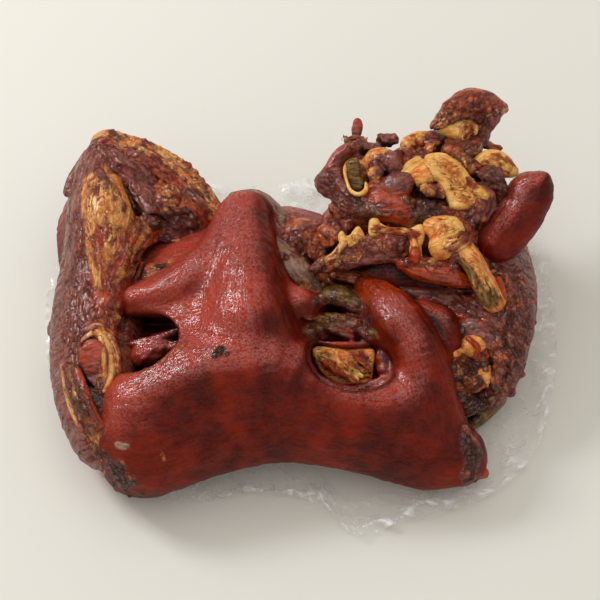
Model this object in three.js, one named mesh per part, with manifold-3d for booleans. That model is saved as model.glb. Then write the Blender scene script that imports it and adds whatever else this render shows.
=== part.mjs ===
// A braised pig trotter with its knuckle, lying on the clear film that it came in.
// The leg lies left to right: the sawn shank stands at the left, the rind is laid open over the
// knuckle in the middle, and the foot with its toes is folded up over the right half.
// Millimetres, +Z up. The origin is on the table, under the middle of the whole.
import * as THREE from "three";
import { mergeVertices } from "three/addons/utils/BufferGeometryUtils.js";
import Module from "manifold-3d";

const wasm = await Module();
wasm.setup();

// Driving dimensions
const HALF_LENGTH = 126.5; // half of the film's length, which is the longest thing here
const HALF_DEPTH = 105; // half of the film's depth
const FILM_THICKNESS = 0.5;
const FILM_CRUMPLE = 5; // how high the loose rim of the film rises
const FILM_FLAT = 0.86; // the share of the way out where the film comes loose from the table
const FILM_CLEARANCE = 4; // between the risen film and the flesh over it
const FILM_SEGMENTS = 36;
const FILM_RINGS = [0, 0.45, 0.75, 0.88, 0.95, 1];
const CRUMPLES_ROUND = 2.3; // radians a segment
const CRUMPLES_OUT = 9; // radians from the middle to the rim
const CRUMPLES_SWELL = 1.1; // radians a segment
const FLESH_BASE = 1; // the flat spot that the flesh rests on, just above the film
const GAP = 0.35; // between a bone and its socket in the flesh
const VIEW_ELEVATION = THREE.MathUtils.degToRad(60);
const VIEW_DISTANCE = 1125; // from the eye to the sighted point on the table
const SIGHT_Y = 25; // where the middle of the view meets the table
const TABLE_SIDE = 400;
const TABLE_DEPTH = 100;

// Facets
const SMALL_LUMP = 12; // lumps of a lesser mean half size have a coarser ball
const THIN_ROPE = 5; // ropes of a lesser greatest radius have fewer sides
const THIN_SIDES = 6;
const THICK_SIDES = 8;
const THIN_STATION = 7; // between two rings of a thin rope
const THICK_STATION = 11; // between two rings of a thick rope
const MERGE_TOLERANCE = 1e-4;

const BONE = { color: "#c99b5c", roughness: 0.45 };
const FLESH = { color: "#7c2a1c", roughness: 0.3 };
const FILM = { color: "#e8e6e0", roughness: 0.2 };

const ACROSS = new THREE.Vector3(1, 0, 0);
const UPWARD = new THREE.Vector3(0, Math.sin(VIEW_ELEVATION), Math.cos(VIEW_ELEVATION));
const TOWARDS = new THREE.Vector3(0, -Math.cos(VIEW_ELEVATION), Math.sin(VIEW_ELEVATION));
const VERTICAL = new THREE.Vector3(0, 0, 1);

const point = (x, y, z) => new THREE.Vector3(x, y, z);

// The point that shows `across` mm right of the middle of the view and `up` mm above it, and that is
// `height` mm above the table.
function seen(across, up, height) {
  const sine = Math.sin(VIEW_ELEVATION);
  const cosine = Math.cos(VIEW_ELEVATION);
  const y =
    (up * (1 - (height * sine) / VIEW_DISTANCE) - height * cosine) /
    (sine - (up * cosine) / VIEW_DISTANCE);
  const nearer = 1 - (height * sine - y * cosine) / VIEW_DISTANCE;
  return new THREE.Vector3(across * nearer, y + SIGHT_Y, height);
}

// Forms. A lump is an ellipsoid and a rope is a tapering strand. `blend` is how many millimetres wide
// the fillet is where the form runs into those before it, and a form marked as a cut is hollowed out.

// An ellipsoid as seen: half sizes along `turn` degrees in the view, across that, and towards the eye.
function lump(blend, at, size, turn = 0) {
  const angle = THREE.MathUtils.degToRad(turn);
  const along = ACROSS.clone().multiplyScalar(Math.cos(angle)).addScaledVector(UPWARD, Math.sin(angle));
  const aside = UPWARD.clone().multiplyScalar(Math.cos(angle)).addScaledVector(ACROSS, -Math.sin(angle));
  return { blend, at, size, axes: [along, aside, TOWARDS] };
}

// An ellipsoid that stands square to the table, for the bulk that the view doesn't show.
function bulk(blend, x, y, z, size, turn = 0) {
  const angle = THREE.MathUtils.degToRad(turn);
  const along = new THREE.Vector3(Math.cos(angle), Math.sin(angle), 0);
  const aside = new THREE.Vector3(-Math.sin(angle), Math.cos(angle), 0);
  return { blend, at: point(x, y, z), size, axes: [along, aside, VERTICAL] };
}

// A strand through [across, up, height, radius] points.
function rope(blend, points) {
  const path = points.map(([across, up, height]) => seen(across, up, height));
  return { blend, path, radii: points.map((point) => point[3]) };
}

const cut = (form) => ({ ...form, cut: true });

// The saddle of rind over the knuckle, with the openings in it and the meat that shows there.
const saddle = {
  knuckleLeft: bulk(10, -40, -10, 29, [54, 58, 33]),
  knuckleRight: bulk(10, 24, -24, 25, [58, 44, 28]),
  knuckleBack: bulk(10, -12, 28, 24, [46, 34, 25]),
  frontRoll: rope(10, [
    [-74, -70, 26, 26],
    [-48, -62, 28, 25],
    [-18, -56, 30, 24],
    [14, -57, 29, 24],
    [42, -64, 25, 23],
    [62, -72, 20, 19.5],
  ]),
  frontBrow: rope(12, [
    [-80, -52, 42, 16],
    [-50, -38, 50, 17],
    [-15, -34, 52, 18],
    [18, -52, 42, 14],
    [50, -54, 38, 14],
  ]),
  toeTube: rope(6, [
    [52, -68, 23, 20],
    [66, -75, 18, 17.5],
    [79, -78.5, 16.5, 14],
  ]),
  nearCorner: rope(8, [
    [-80, -66, 28, 22],
    [-80, -80, 16, 16],
  ]),
  lobe: rope(8, [
    [-28, 42, 52, 14],
    [-28, 28, 55, 15.5],
    [-27, 10, 57, 18],
    [-25, -12, 55, 22],
  ]),
  ridge: rope(6, [
    [-82, 0, 52, 7],
    [-68, 3, 54, 9],
    [-54, 10, 56, 11],
    [-42, 22, 56, 10],
    [-36, 38, 52, 7],
  ]),
  curl: lump(6, seen(-2, -1, 56), [11, 10, 9]),
  curlLeft: lump(6, seen(-14, 2, 57), [10, 9, 8]),
  arm: rope(6, [
    [33, 4, 50, 6],
    [42, -2, 54, 9],
    [54, -16, 54, 11],
    [61, -34, 48, 13],
    [64, -50, 40, 14],
    [68, -64, 28, 15],
  ]),
  bandUpper: rope(5, [
    [56, 4, 46, 7],
    [70, 1, 45, 8],
    [80, -2, 43, 7],
  ]),
  bandLower: rope(5, [
    [62, -8, 44, 9],
    [72, -16, 44, 8],
    [72, -28, 42, 7],
  ]),
  window: cut(lump(5, seen(25, -31, 50), [22, 13.5, 26], -8)),
  windowTop: cut(lump(5, seen(20, -8, 56), [14, 18, 18])),
  cave: cut(lump(5, seen(-76, -22, 44), [18, 14, 26], 25)),
  toeEnd: lump(3, seen(83, -78, 16), [4.5, 11.5, 11], -8),
  toeQuick: rope(1.5, [
    [84, -83, 13, 4],
    [90, -85, 12, 3],
  ]),
  ledge: lump(3, seen(19, -17, 42), [16, 6, 8], -3),
  gristle: lump(3, seen(20, -1, 40), [8.5, 8, 9]),
  tendon: rope(2, [
    [-8, 26, 50, 4.5],
    [3, 10, 46, 4.5],
    [8, 6, 43, 3.5],
  ]),
  caveMeat: lump(3, seen(-73, -26, 38), [14, 9, 12], 20),
  backMeatLeft: lump(4, seen(-8, 36, 42), [8, 7, 10]),
  backMeatRight: lump(4, seen(12, 26, 44), [8, 8, 10]),
};

// The sawn shank at the left: muscle under shining sinew, and a ragged rim of fat.
const shank = {
  wall: bulk(8, -97, -18, 26, [23, 62, 28], 4),
  back: bulk(8, -82, 46, 27, [38, 38, 29]),
  column: rope(6, [
    [-97, 70, 50, 11],
    [-101, 52, 52, 13],
    [-102, 30, 50, 14],
    [-102, 8, 46, 14],
    [-104, -12, 40, 15],
    [-105, -34, 32, 14],
  ]),
  outerWall: rope(6, [
    [-103, 62, 46, 10],
    [-106, 30, 40, 9],
    [-108, 0, 34, 10],
    [-110, -26, 28, 11],
    [-106, -48, 22, 11],
  ]),
  lowerMuscle: rope(5, [
    [-104, -44, 26, 12],
    [-98, -64, 18, 11],
    [-90, -80, 12, 9],
  ]),
  lowerStrip: rope(3, [
    [-110, -50, 14, 7],
    [-102, -70, 8, 6],
    [-88, -90, 7, 6],
  ]),
  knob: lump(3, seen(-97, 80, 50), [8, 5.5, 7], 15),
  flap: rope(2, [
    [-106, 70, 46, 4],
    [-111, 64, 42, 4],
    [-115, 56, 38, 3],
  ]),
  darkField: lump(5, seen(-80, 62, 46), [18, 16, 10], -30),
  lowField: lump(5, seen(-66, 40, 44), [22, 14, 10], -10),
  rim: rope(2.5, [
    [-92, 82, 48, 3.5],
    [-76, 78, 48, 3.6],
    [-62, 69, 47, 3.8],
    [-50, 57, 45, 4],
    [-42, 46, 44, 4],
  ]),
  rimEnd: lump(2, seen(-43, 45, 46), [5.5, 5.5, 6]),
};

// The foot folded up at the right: its rind-wrapped bulk, the meat that carries the toes, and the
// lips of skin.
const foot = {
  ball: bulk(10, 56, 36, 29, [50, 44, 33]),
  heel: bulk(8, 88, 12, 26, [27, 48, 30]),
  heelWall: rope(5, [
    [100, 14, 42, 9],
    [104, -4, 38, 10],
    [104, -20, 34, 10],
    [101, -34, 28, 10],
    [94, -46, 20, 9],
  ]),
  heelLow: rope(3, [
    [96, -48, 12, 7],
    [88, -57, 7, 6],
    [82, -62, 5, 4],
  ]),
  heelKnot: lump(3, seen(78, -36, 34), [9, 10, 9]),
  neck: lump(6, seen(58, 40, 54), [38, 20, 18]),
  upperMeat: lump(6, seen(62, 60, 62), [34, 15, 13]),
  lowerLip: rope(3, [
    [8, 15, 56, 4],
    [18, 18, 58, 6],
    [30, 21, 60, 7],
    [44, 22, 60, 8],
  ]),
  rightLip: rope(3, [
    [54, 15, 60, 4.5],
    [66, 13.5, 61, 5],
    [78, 12, 60, 5],
    [86, 9, 58, 3.5],
  ]),
  roughLeft: lump(3, seen(17, 33, 62), [7, 7, 7]),
  leftFlap: rope(3, [
    [9, 60, 62, 3],
    [16, 58, 64, 7],
    [24, 52, 66, 9],
  ]),
  darkLow: lump(4, seen(30, 46, 66), [11, 8, 9], -20),
  redLow: lump(4, seen(49, 45, 70), [11, 8, 10]),
  redHigh: lump(3, seen(48, 57, 74), [9, 6.5, 8], 10),
  hood: rope(2, [
    [15, 66, 66, 3.5],
    [21, 72, 68, 4.5],
    [28, 76, 68, 4.5],
    [35, 77, 66, 3],
  ]),
  knob: lump(2, seen(43, 68, 74), [8, 7.5, 8]),
  purpleKnob: lump(2, seen(67, 78, 70), [6, 6, 6]),
  darkMass: lump(4, seen(83, 77, 72), [10, 9, 10]),
  purpleRight: lump(3, seen(98, 61, 70), [8, 5, 7], -20),
  headCap: lump(2, seen(82, 32, 66), [6, 7, 7]),
};

const toeRight = {
  toe: rope(4, [
    [101, 30, 54, 11],
    [109, 40, 58, 13.5],
    [115, 51, 62, 11.5],
  ]),
  tip: lump(5, seen(117, 55, 63), [10, 9, 10], -20),
  root: lump(4, seen(98, 24, 52), [6, 7, 9]),
};

const toeTop = {
  cap: lump(4, seen(86, 97, 84), [18, 8.5, 11], 3),
  capLeft: rope(4, [
    [70, 87, 80, 3],
    [76, 93, 83, 6],
  ]),
  capRight: rope(4, [
    [94, 97, 83, 6],
    [100, 95, 82, 4],
  ]),
  stem: rope(4, [
    [91, 93, 81, 6],
    [87, 80, 73, 6.5],
  ]),
};

const crispTip = {
  base: lump(2, seen(28, 80, 66), [6, 4, 5]),
  tip: rope(1.5, [
    [28.5, 82, 66, 2.2],
    [28.5, 87, 67, 3.2],
    [28.5, 89, 67, 2.6],
  ]),
};

// What the flesh is wrapped from. Each ball starts out at its reach, which is its half sizes round its
// middle, and is drawn in towards its core. A flat, wide core makes it come down steeply on the forms
// that face upwards. `detail` is how finely the ball is faceted. Forms with a greatest radius or a mean
// half size under `fineBelow` are joined on as they are.
const wraps = [
  {
    forms: saddle,
    middle: point(-12, -28, 20),
    reach: point(105, 85, 75),
    core: point(66, 42, 1),
    detail: 9,
    fineBelow: 9,
  },
  {
    forms: shank,
    middle: point(-94, 2, 24),
    reach: point(50, 105, 60),
    core: point(9, 60, 1),
    detail: 7,
    fineBelow: 9,
  },
  {
    forms: foot,
    middle: point(62, 26, 38),
    reach: point(80, 95, 64),
    core: point(36, 28, 1),
    detail: 8,
    fineBelow: 9,
  },
  {
    forms: toeRight,
    middle: seen(109, 41, 58),
    reach: point(30, 40, 30),
    core: point(0, 0, 0),
    detail: 4,
    fineBelow: 0,
  },
  {
    forms: toeTop,
    middle: seen(87, 94, 82),
    reach: point(40, 30, 30),
    core: point(4, 0, 0),
    detail: 4,
    fineBelow: 0,
  },
  {
    forms: crispTip,
    middle: seen(28.3, 82.5, 66),
    reach: point(15, 20, 15),
    core: point(0, 0, 0),
    detail: 2,
    fineBelow: 0,
  },
];

// The bones that show, each a piece of its own.
const bones = {
  cannon_bone: {
    shaft: rope(0, [
      [76, 30, 70, 6],
      [84, 22, 69, 5.5],
      [91, 10, 63, 5],
      [97, 0, 56, 6],
    ]),
    head: lump(0, seen(72, 34, 72), [9, 8, 8]),
    headLow: lump(0, seen(71, 25, 70), [6, 5.5, 6]),
  },
  pastern_plate: {
    plate: lump(0, seen(76, 59, 76), [18, 11, 5], -32),
    bulge: lump(0, seen(61, 62, 77), [7.5, 6, 6], 20),
  },
  joint_cup: {
    cup: rope(0, [
      [24, 69, 74, 2],
      [22, 62, 75, 2.4],
      [24, 55, 75, 2.4],
      [29, 52, 75, 2.4],
      [33, 55, 74, 2.2],
    ]),
    floor: lump(0, seen(27, 62, 70), [5, 9, 4]),
  },
  toe_bone: {
    body: lump(0, seen(79, 86, 80), [11, 5.5, 6], 8),
    end: lump(0, seen(85, 82, 78), [6, 5, 5], -40),
  },
  rear_knob: { knob: lump(0, seen(97, 68, 74), [12, 6.5, 7], -18) },
  upper_knob: { knob: lump(0, seen(58, 78, 72), [8, 5, 6], 10) },
  split_bone: { chip: lump(0, seen(56, 66, 77), [8, 4.5, 5], 38) },
  jagged_bone: { chip: lump(0, seen(25, 30, 66), [8.5, 5, 5], 18) },
  strip_bone: {
    bar: rope(0, [
      [38, 36, 68, 3.2],
      [46, 34.5, 68, 3],
      [54, 32.5, 67, 3.2],
      [60, 35, 67, 3.2],
    ]),
    leg: rope(0, [
      [57, 31, 67, 4],
      [58, 22, 65, 3.5],
    ]),
  },
  window_bone: { body: lump(0, seen(23, -32, 38), [16, 9.5, 9], -3) },
  heel_bone: {
    knob: lump(0, seen(89, -23, 40), [6, 6, 6]),
    tail: lump(0, seen(92, -36, 34), [4, 7, 5], 10),
  },
};

// Where the film ends on the table, as [across, up] in the view, from the left round the front.
// Its far edge is out of sight.
const filmOutline = [
  [-127, -10],
  [-122, -45],
  [-106, -76],
  [-80, -92],
  [-50, -95],
  [-20, -91],
  [8, -97],
  [26, -112],
  [50, -105],
  [90, -93],
  [115, -69],
  [124, -25],
  [120, 15],
  [112, 45],
  [92, 62],
  [60, 68],
  [25, 64],
  [-20, 56],
  [-60, 58],
  [-98, 48],
  [-119, 27],
];

// Distances, in millimetres and below zero inside

function lumpDistance({ at, size, axes }, place) {
  const offset = place.clone().sub(at);
  const scaled = new THREE.Vector3(...axes.map((axis, i) => offset.dot(axis) / size[i]));
  const steeper = scaled.clone().divide(new THREE.Vector3(...size));
  const reached = scaled.length();
  return (reached * (reached - 1)) / Math.max(steeper.length(), Number.EPSILON);
}

const ROPE_STEPS = 4; // straight lengths between two points of a rope

function ropeDistance(form, place) {
  form.route ??= new THREE.CatmullRomCurve3(form.path).getPoints(ROPE_STEPS * (form.path.length - 1));
  let nearest = Infinity;
  for (let i = 0; i + 1 < form.route.length; i++) {
    const line = new THREE.Line3(form.route[i], form.route[i + 1]);
    const along = line.closestPointToPointParameter(place, true);
    const passed = (i + along) / ROPE_STEPS;
    const before = Math.min(Math.floor(passed), form.radii.length - 2);
    const radius = THREE.MathUtils.lerp(form.radii[before], form.radii[before + 1], passed - before);
    nearest = Math.min(nearest, line.at(along, point(0, 0, 0)).distanceTo(place) - radius);
  }
  return nearest;
}

// The lesser of two distances, with a fillet between them.
function smoothLeast(a, b, blend) {
  const near = Math.max(blend - Math.abs(a - b), 0);
  return Math.min(a, b) - (near * near) / (4 * blend);
}

// The distance to a group's forms together, above its flat base. The first cut ends the list: cuts,
// and what lies in them, are worked as solids.
function blendedDistance(forms, place) {
  let value = Infinity;
  for (const form of Object.values(forms)) {
    if (form.cut) break;
    const distance = form.path ? ropeDistance(form, place) : lumpDistance(form, place);
    value = value === Infinity ? distance : smoothLeast(value, distance, form.blend);
  }
  return Math.max(value, FLESH_BASE - place.z);
}

// Solids

// A closed geometry as a solid that can be joined and cut.
function solidOf(geometry) {
  geometry.deleteAttribute("normal");
  geometry.deleteAttribute("uv");
  const merged = mergeVertices(geometry, MERGE_TOLERANCE);
  return new wasm.Manifold(
    new wasm.Mesh({
      numProp: 3,
      vertProperties: new Float32Array(merged.attributes.position.array),
      triVerts: new Uint32Array(merged.index.array),
    }),
  );
}

const WRAP_STEPS = 80;
const WRAP_TOLERANCE = 0.05;
const WRAP_CAUTION = 0.8; // how much of the distance one step takes
const KEY_PLACES = 4; // decimals by which two vertices of the ball are told apart

// Where a vertex of the ball comes to lie: on its way in to the core, at the blended forms.
function landing({ forms, middle, reach, core }, way) {
  const outer = way.clone().multiply(reach).add(middle);
  const inner = way.clone().multiply(core).add(middle);
  const travel = outer.distanceTo(inner);
  const place = outer.clone();
  let travelled = 0;
  for (let step = 0; step < WRAP_STEPS; step++) {
    const distance = blendedDistance(forms, place);
    if (distance < WRAP_TOLERANCE || travelled === travel) break;
    travelled = Math.min(travel, travelled + distance * WRAP_CAUTION);
    place.lerpVectors(outer, inner, travelled / travel);
  }
  place.z = Math.max(place.z, FLESH_BASE);
  return place.toArray();
}

// A ball drawn in from its reach towards its core, until it lies on the blended forms.
function wrapSolid(wrap) {
  const ball = new THREE.IcosahedronGeometry(1, wrap.detail);
  const position = ball.attributes.position;
  const landed = new Map(); // the ball's faces share no vertices, so each place is worked out once
  for (let i = 0; i < position.count; i++) {
    const way = new THREE.Vector3().fromBufferAttribute(position, i);
    const key = way.toArray().map((value) => value.toFixed(KEY_PLACES)).join();
    if (!landed.has(key)) landed.set(key, landing(wrap, way));
    position.setXYZ(i, ...landed.get(key));
  }
  return solidOf(ball);
}

// The wrapped bulk of a group, with its cuts, and with the small forms that the ball is too coarse for.
function groupSolid(wrap) {
  let solid = wrapSolid(wrap);
  let opened = false;
  for (const form of Object.values(wrap.forms)) {
    opened ||= Boolean(form.cut);
    const { radii, size } = form;
    const formSize = radii ? Math.max(...radii) : (size[0] + size[1] + size[2]) / 3;
    if (form.cut) solid = solid.subtract(formSolid(form));
    else if (opened || formSize < wrap.fineBelow) solid = solid.add(formSolid(form));
  }
  return solid;
}

// A lump as a ball stretched along its axes, which has more facets where the lump is larger.
function lumpSolid({ at, size, axes }, swell) {
  const mean = (size[0] + size[1] + size[2]) / 3;
  const ball = new THREE.IcosahedronGeometry(1, mean < SMALL_LUMP ? 1 : 2);
  const [a, b, c] = axes.map((axis, i) => axis.clone().multiplyScalar(size[i] + swell));
  return solidOf(ball.applyMatrix4(new THREE.Matrix4().makeBasis(a, b, c).setPosition(at)));
}

// Half of a rope's outline, laid out straight. Each round end has one ring, at 45 degrees.
function ropeProfile(curve, radii, stations, swell) {
  const length = curve.getLength();
  const radiusAt = (station) => {
    const passed = curve.getUtoTmapping(station / stations) * (radii.length - 1);
    const before = Math.min(Math.floor(passed), radii.length - 2);
    return THREE.MathUtils.lerp(radii[before], radii[before + 1], passed - before) + swell;
  };
  const [first, last] = [radiusAt(0), radiusAt(stations)];
  const profile = [
    new THREE.Vector2(0, -first),
    new THREE.Vector2(first * Math.SQRT1_2, -first * Math.SQRT1_2),
  ];
  for (let station = 0; station <= stations; station++)
    profile.push(new THREE.Vector2(radiusAt(station), (length * station) / stations));
  profile.push(
    new THREE.Vector2(last * Math.SQRT1_2, length + last * Math.SQRT1_2),
    new THREE.Vector2(0, length + last),
  );
  return profile;
}

// A tapering rope with round ends: a lathed spindle, bent along a curve through the rope's points.
function ropeSolid({ path, radii }, swell) {
  const curve = new THREE.CatmullRomCurve3(path);
  const length = curve.getLength();
  const thin = Math.max(...radii) < THIN_ROPE;
  const stations = Math.max(2, Math.round(length / (thin ? THIN_STATION : THICK_STATION)));
  const profile = ropeProfile(curve, radii, stations, swell);
  const spindle = new THREE.LatheGeometry(profile, thin ? THIN_SIDES : THICK_SIDES);
  const { tangents, normals, binormals } = curve.computeFrenetFrames(stations);
  const position = spindle.attributes.position;
  for (let i = 0; i < position.count; i++) {
    const station = THREE.MathUtils.clamp((i % profile.length) - 2, 0, stations);
    const beyond = position.getY(i) - (length * station) / stations;
    const place = curve
      .getPointAt(station / stations)
      .addScaledVector(binormals[station], position.getX(i))
      .addScaledVector(normals[station], position.getZ(i))
      .addScaledVector(tangents[station], beyond);
    position.setXYZ(i, place.x, place.y, place.z);
  }
  return solidOf(spindle);
}

const formSolid = (form, swell = 0) => (form.path ? ropeSolid(form, swell) : lumpSolid(form, swell));
const joined = (solids) => solids.reduce((all, solid) => all.add(solid));

// The forms of one bone as a solid, grown by `swell` for its socket.
const boneSolid = (forms, swell = 0) => joined(Object.values(forms).map((form) => formSolid(form, swell)));

// What a cut leaves loose is dropped, and the largest body kept.
const largest = (solid) => solid.decompose().sort((a, b) => b.volume() - a.volume())[0];

// How far up a place on the film is crumpled, from 0 where it lies on the table to 1.
function crumpled(segment, ring) {
  const loose = THREE.MathUtils.smoothstep(ring, FILM_FLAT, 1);
  const fold = Math.sin(CRUMPLES_ROUND * segment + CRUMPLES_OUT * ring);
  return (loose * (1 + fold * Math.cos(CRUMPLES_SWELL * segment))) / 2;
}

// The film: a disc of rings drawn out to the outline, flat under the flesh and crumpled where it comes
// out.
function filmGeometry(fleshMesh) {
  const profile = [
    ...FILM_RINGS.map((ring) => new THREE.Vector2(ring, 0)),
    ...FILM_RINGS.toReversed().map((ring) => new THREE.Vector2(ring, 1)),
  ];
  const film = new THREE.LatheGeometry(profile, FILM_SEGMENTS);
  const edges = filmOutline.map(([across, up]) => seen(across, up, 0));
  const outline = new THREE.CatmullRomCurve3(edges, true);
  const upwardRay = new THREE.Raycaster(new THREE.Vector3(), VERTICAL);
  const position = film.attributes.position;
  for (let i = 0; i < position.count; i++) {
    const segment = Math.floor(i / profile.length) % FILM_SEGMENTS;
    const ring = Math.hypot(position.getX(i), position.getZ(i));
    const edge = outline.getPointAt(segment / FILM_SEGMENTS);
    upwardRay.ray.origin.set(edge.x * ring, edge.y * ring, -1);
    const [above] = upwardRay.intersectObject(fleshMesh);
    const room = above ? Math.max(0, above.point.z - FILM_THICKNESS - FILM_CLEARANCE) : Infinity;
    const rise = Math.min(room, FILM_CRUMPLE * crumpled(segment, ring));
    const height = FILM_THICKNESS * position.getY(i) + rise;
    position.setXYZ(i, edge.x * ring, edge.y * ring, height);
  }
  film.computeBoundingBox();
  const { min, max } = film.boundingBox;
  film.translate(-(min.x + max.x) / 2, -(min.y + max.y) / 2, 0);
  return film.scale((2 * HALF_LENGTH) / (max.x - min.x), (2 * HALF_DEPTH) / (max.y - min.y), 1);
}

function meshOf(name, solid, looks) {
  const { vertProperties, triVerts } = solid.getMesh();
  const geometry = new THREE.BufferGeometry();
  geometry.setAttribute("position", new THREE.BufferAttribute(vertProperties, 3));
  geometry.setIndex(new THREE.BufferAttribute(triVerts, 1));
  geometry.computeVertexNormals();
  const mesh = new THREE.Mesh(geometry, new THREE.MeshStandardMaterial({ ...looks, metalness: 0 }));
  mesh.name = name;
  return mesh;
}

const trotter = new THREE.Group();
const tableBox = new THREE.BoxGeometry(TABLE_SIDE, TABLE_SIDE, TABLE_DEPTH);
const table = solidOf(tableBox.translate(0, 0, FLESH_BASE - TABLE_DEPTH / 2));
let flesh = joined(wraps.map(groupSolid)).subtract(table);
const laid = [];
for (const [name, forms] of Object.entries(bones)) {
  const socket = boneSolid(forms, GAP);
  flesh = flesh.subtract(socket);
  const bone = laid.reduce((left, other) => left.subtract(other), boneSolid(forms));
  laid.push(socket);
  trotter.add(meshOf(name, largest(bone), BONE));
}
const fleshMesh = meshOf("flesh", largest(flesh), FLESH);
trotter.add(fleshMesh);
trotter.add(meshOf("film", solidOf(filmGeometry(fleshMesh)), FILM));

export default trotter;
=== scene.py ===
"""The looks of a braised pig trotter on its clear film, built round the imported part.

Sizes are in millimetres, as in the part, and meshes are written in metres.
"""

from __future__ import annotations

import logging
import math
from collections.abc import Callable, Sequence
from dataclasses import dataclass, field
from enum import Enum
from functools import partial

import bpy
import numpy as np
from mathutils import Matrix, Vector

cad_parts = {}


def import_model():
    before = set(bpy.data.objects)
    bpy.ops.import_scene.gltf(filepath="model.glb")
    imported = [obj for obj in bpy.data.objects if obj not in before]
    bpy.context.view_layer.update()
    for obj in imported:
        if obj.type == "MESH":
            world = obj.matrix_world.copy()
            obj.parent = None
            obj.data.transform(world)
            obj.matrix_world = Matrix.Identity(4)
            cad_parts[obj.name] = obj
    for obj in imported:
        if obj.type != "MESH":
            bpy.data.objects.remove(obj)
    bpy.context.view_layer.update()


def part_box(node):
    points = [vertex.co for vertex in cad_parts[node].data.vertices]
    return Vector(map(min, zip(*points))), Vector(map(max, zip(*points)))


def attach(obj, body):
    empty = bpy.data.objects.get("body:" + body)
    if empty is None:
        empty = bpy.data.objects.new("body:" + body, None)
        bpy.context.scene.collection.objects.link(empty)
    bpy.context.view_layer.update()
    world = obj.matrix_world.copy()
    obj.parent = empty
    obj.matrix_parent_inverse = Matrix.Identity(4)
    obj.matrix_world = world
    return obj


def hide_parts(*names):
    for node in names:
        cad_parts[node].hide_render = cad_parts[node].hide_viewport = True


LOG = logging.getLogger("trotter")
MM = 0.001
TINY = 1e-9


class Tissue(Enum):
    """What a form is made of. Each one is a mask on the mesh."""

    RIND = "rind"
    GLAZE = "glaze"
    MEAT = "meat"
    PLUM = "plum"
    SINEW = "sinew"
    # Dark charred meat; also painted shade on the walls of carved hollows, in creases and in dark gaps.
    CHAR = "char"
    GRISTLE = "gristle"
    PALE = "pale"
    BONE = "bone"


RIND, GLAZE, MEAT, PLUM, SINEW, CHAR, GRISTLE, PALE, BONE = Tissue
Values = float | np.ndarray


@dataclass(frozen=True)
class Sight:
    """The photograph's line of sight, in which the forms are placed."""

    elevation: float = math.radians(60)
    distance: float = 1125.0
    table_y: float = 25.0
    lens: float = 135.0
    sensor: float = 36.0

    @property
    def upward(self) -> np.ndarray:
        """The direction in the row that shows as straight up."""
        return np.array([0, math.sin(self.elevation), math.cos(self.elevation)])

    @property
    def towards(self) -> np.ndarray:
        """The direction in the row that points at the eye."""
        return np.array([0, -math.cos(self.elevation), math.sin(self.elevation)])

    def place(self, across: Values, up: Values, height: Values) -> np.ndarray:
        """Finds the points that show at places in the view.

        Args:
            across: How far right of the middle of the view they show.
            up: How far above the middle of the view they show.
            height: How far above the table they are.

        Returns:
            The points in the row frame.
        """
        sine, cosine = math.sin(self.elevation), math.cos(self.elevation)
        level = up * (1 - height * sine / self.distance) - height * cosine
        y = level / (sine - up * cosine / self.distance)
        nearer = 1 - (height * sine - y * cosine) / self.distance
        return np.stack(np.broadcast_arrays(across * nearer, y + self.table_y, height), -1)


SIGHT = Sight()


Span = tuple[np.ndarray, np.ndarray, Callable[[np.ndarray], np.ndarray]]


# Forms


@dataclass
class Form:
    """One simple shape that a piece is sculpted from."""

    tissue: Tissue
    blend: float
    carved: bool = False

    def box(self) -> tuple[np.ndarray, np.ndarray]:
        """The lowest and the highest corner."""
        raise NotImplementedError

    def distance(self, points: np.ndarray) -> np.ndarray:
        """The distance to each point, below zero inside."""
        raise NotImplementedError

    def grain(self, points: np.ndarray) -> np.ndarray:
        """How far each point lies along and across the fibres."""
        raise NotImplementedError

    def spans(self) -> list[Span]:
        """The boxes that it fills, each with the measure that holds in it."""
        return [(*self.box(), self.distance)]


@dataclass
class Lump(Form):
    """An ellipsoid."""

    at: np.ndarray = field(default_factory=lambda: np.zeros(3))
    size: np.ndarray = field(default_factory=lambda: np.ones(3))
    axes: np.ndarray = field(default_factory=lambda: np.eye(3))

    def box(self) -> tuple[np.ndarray, np.ndarray]:
        """The lowest and the highest corner."""
        reach = np.sqrt(((self.axes * self.size[:, None]) ** 2).sum(0))
        return self.at - reach, self.at + reach

    def distance(self, points: np.ndarray) -> np.ndarray:
        """Measures to the surface.

        Args:
            points: The points, in rows.

        Returns:
            The distance to each point, below zero inside.
        """
        local = (points - self.at) @ self.axes.T
        reached = np.linalg.norm(local / self.size, axis=-1)
        slope = np.linalg.norm(local / self.size**2, axis=-1)
        return reached * (reached - 1) / np.maximum(slope, TINY)

    def grain(self, points: np.ndarray) -> np.ndarray:
        """How far each point lies along and across the longest axis."""
        return ((points - self.at) @ self.axes.T)[..., :2]


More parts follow.
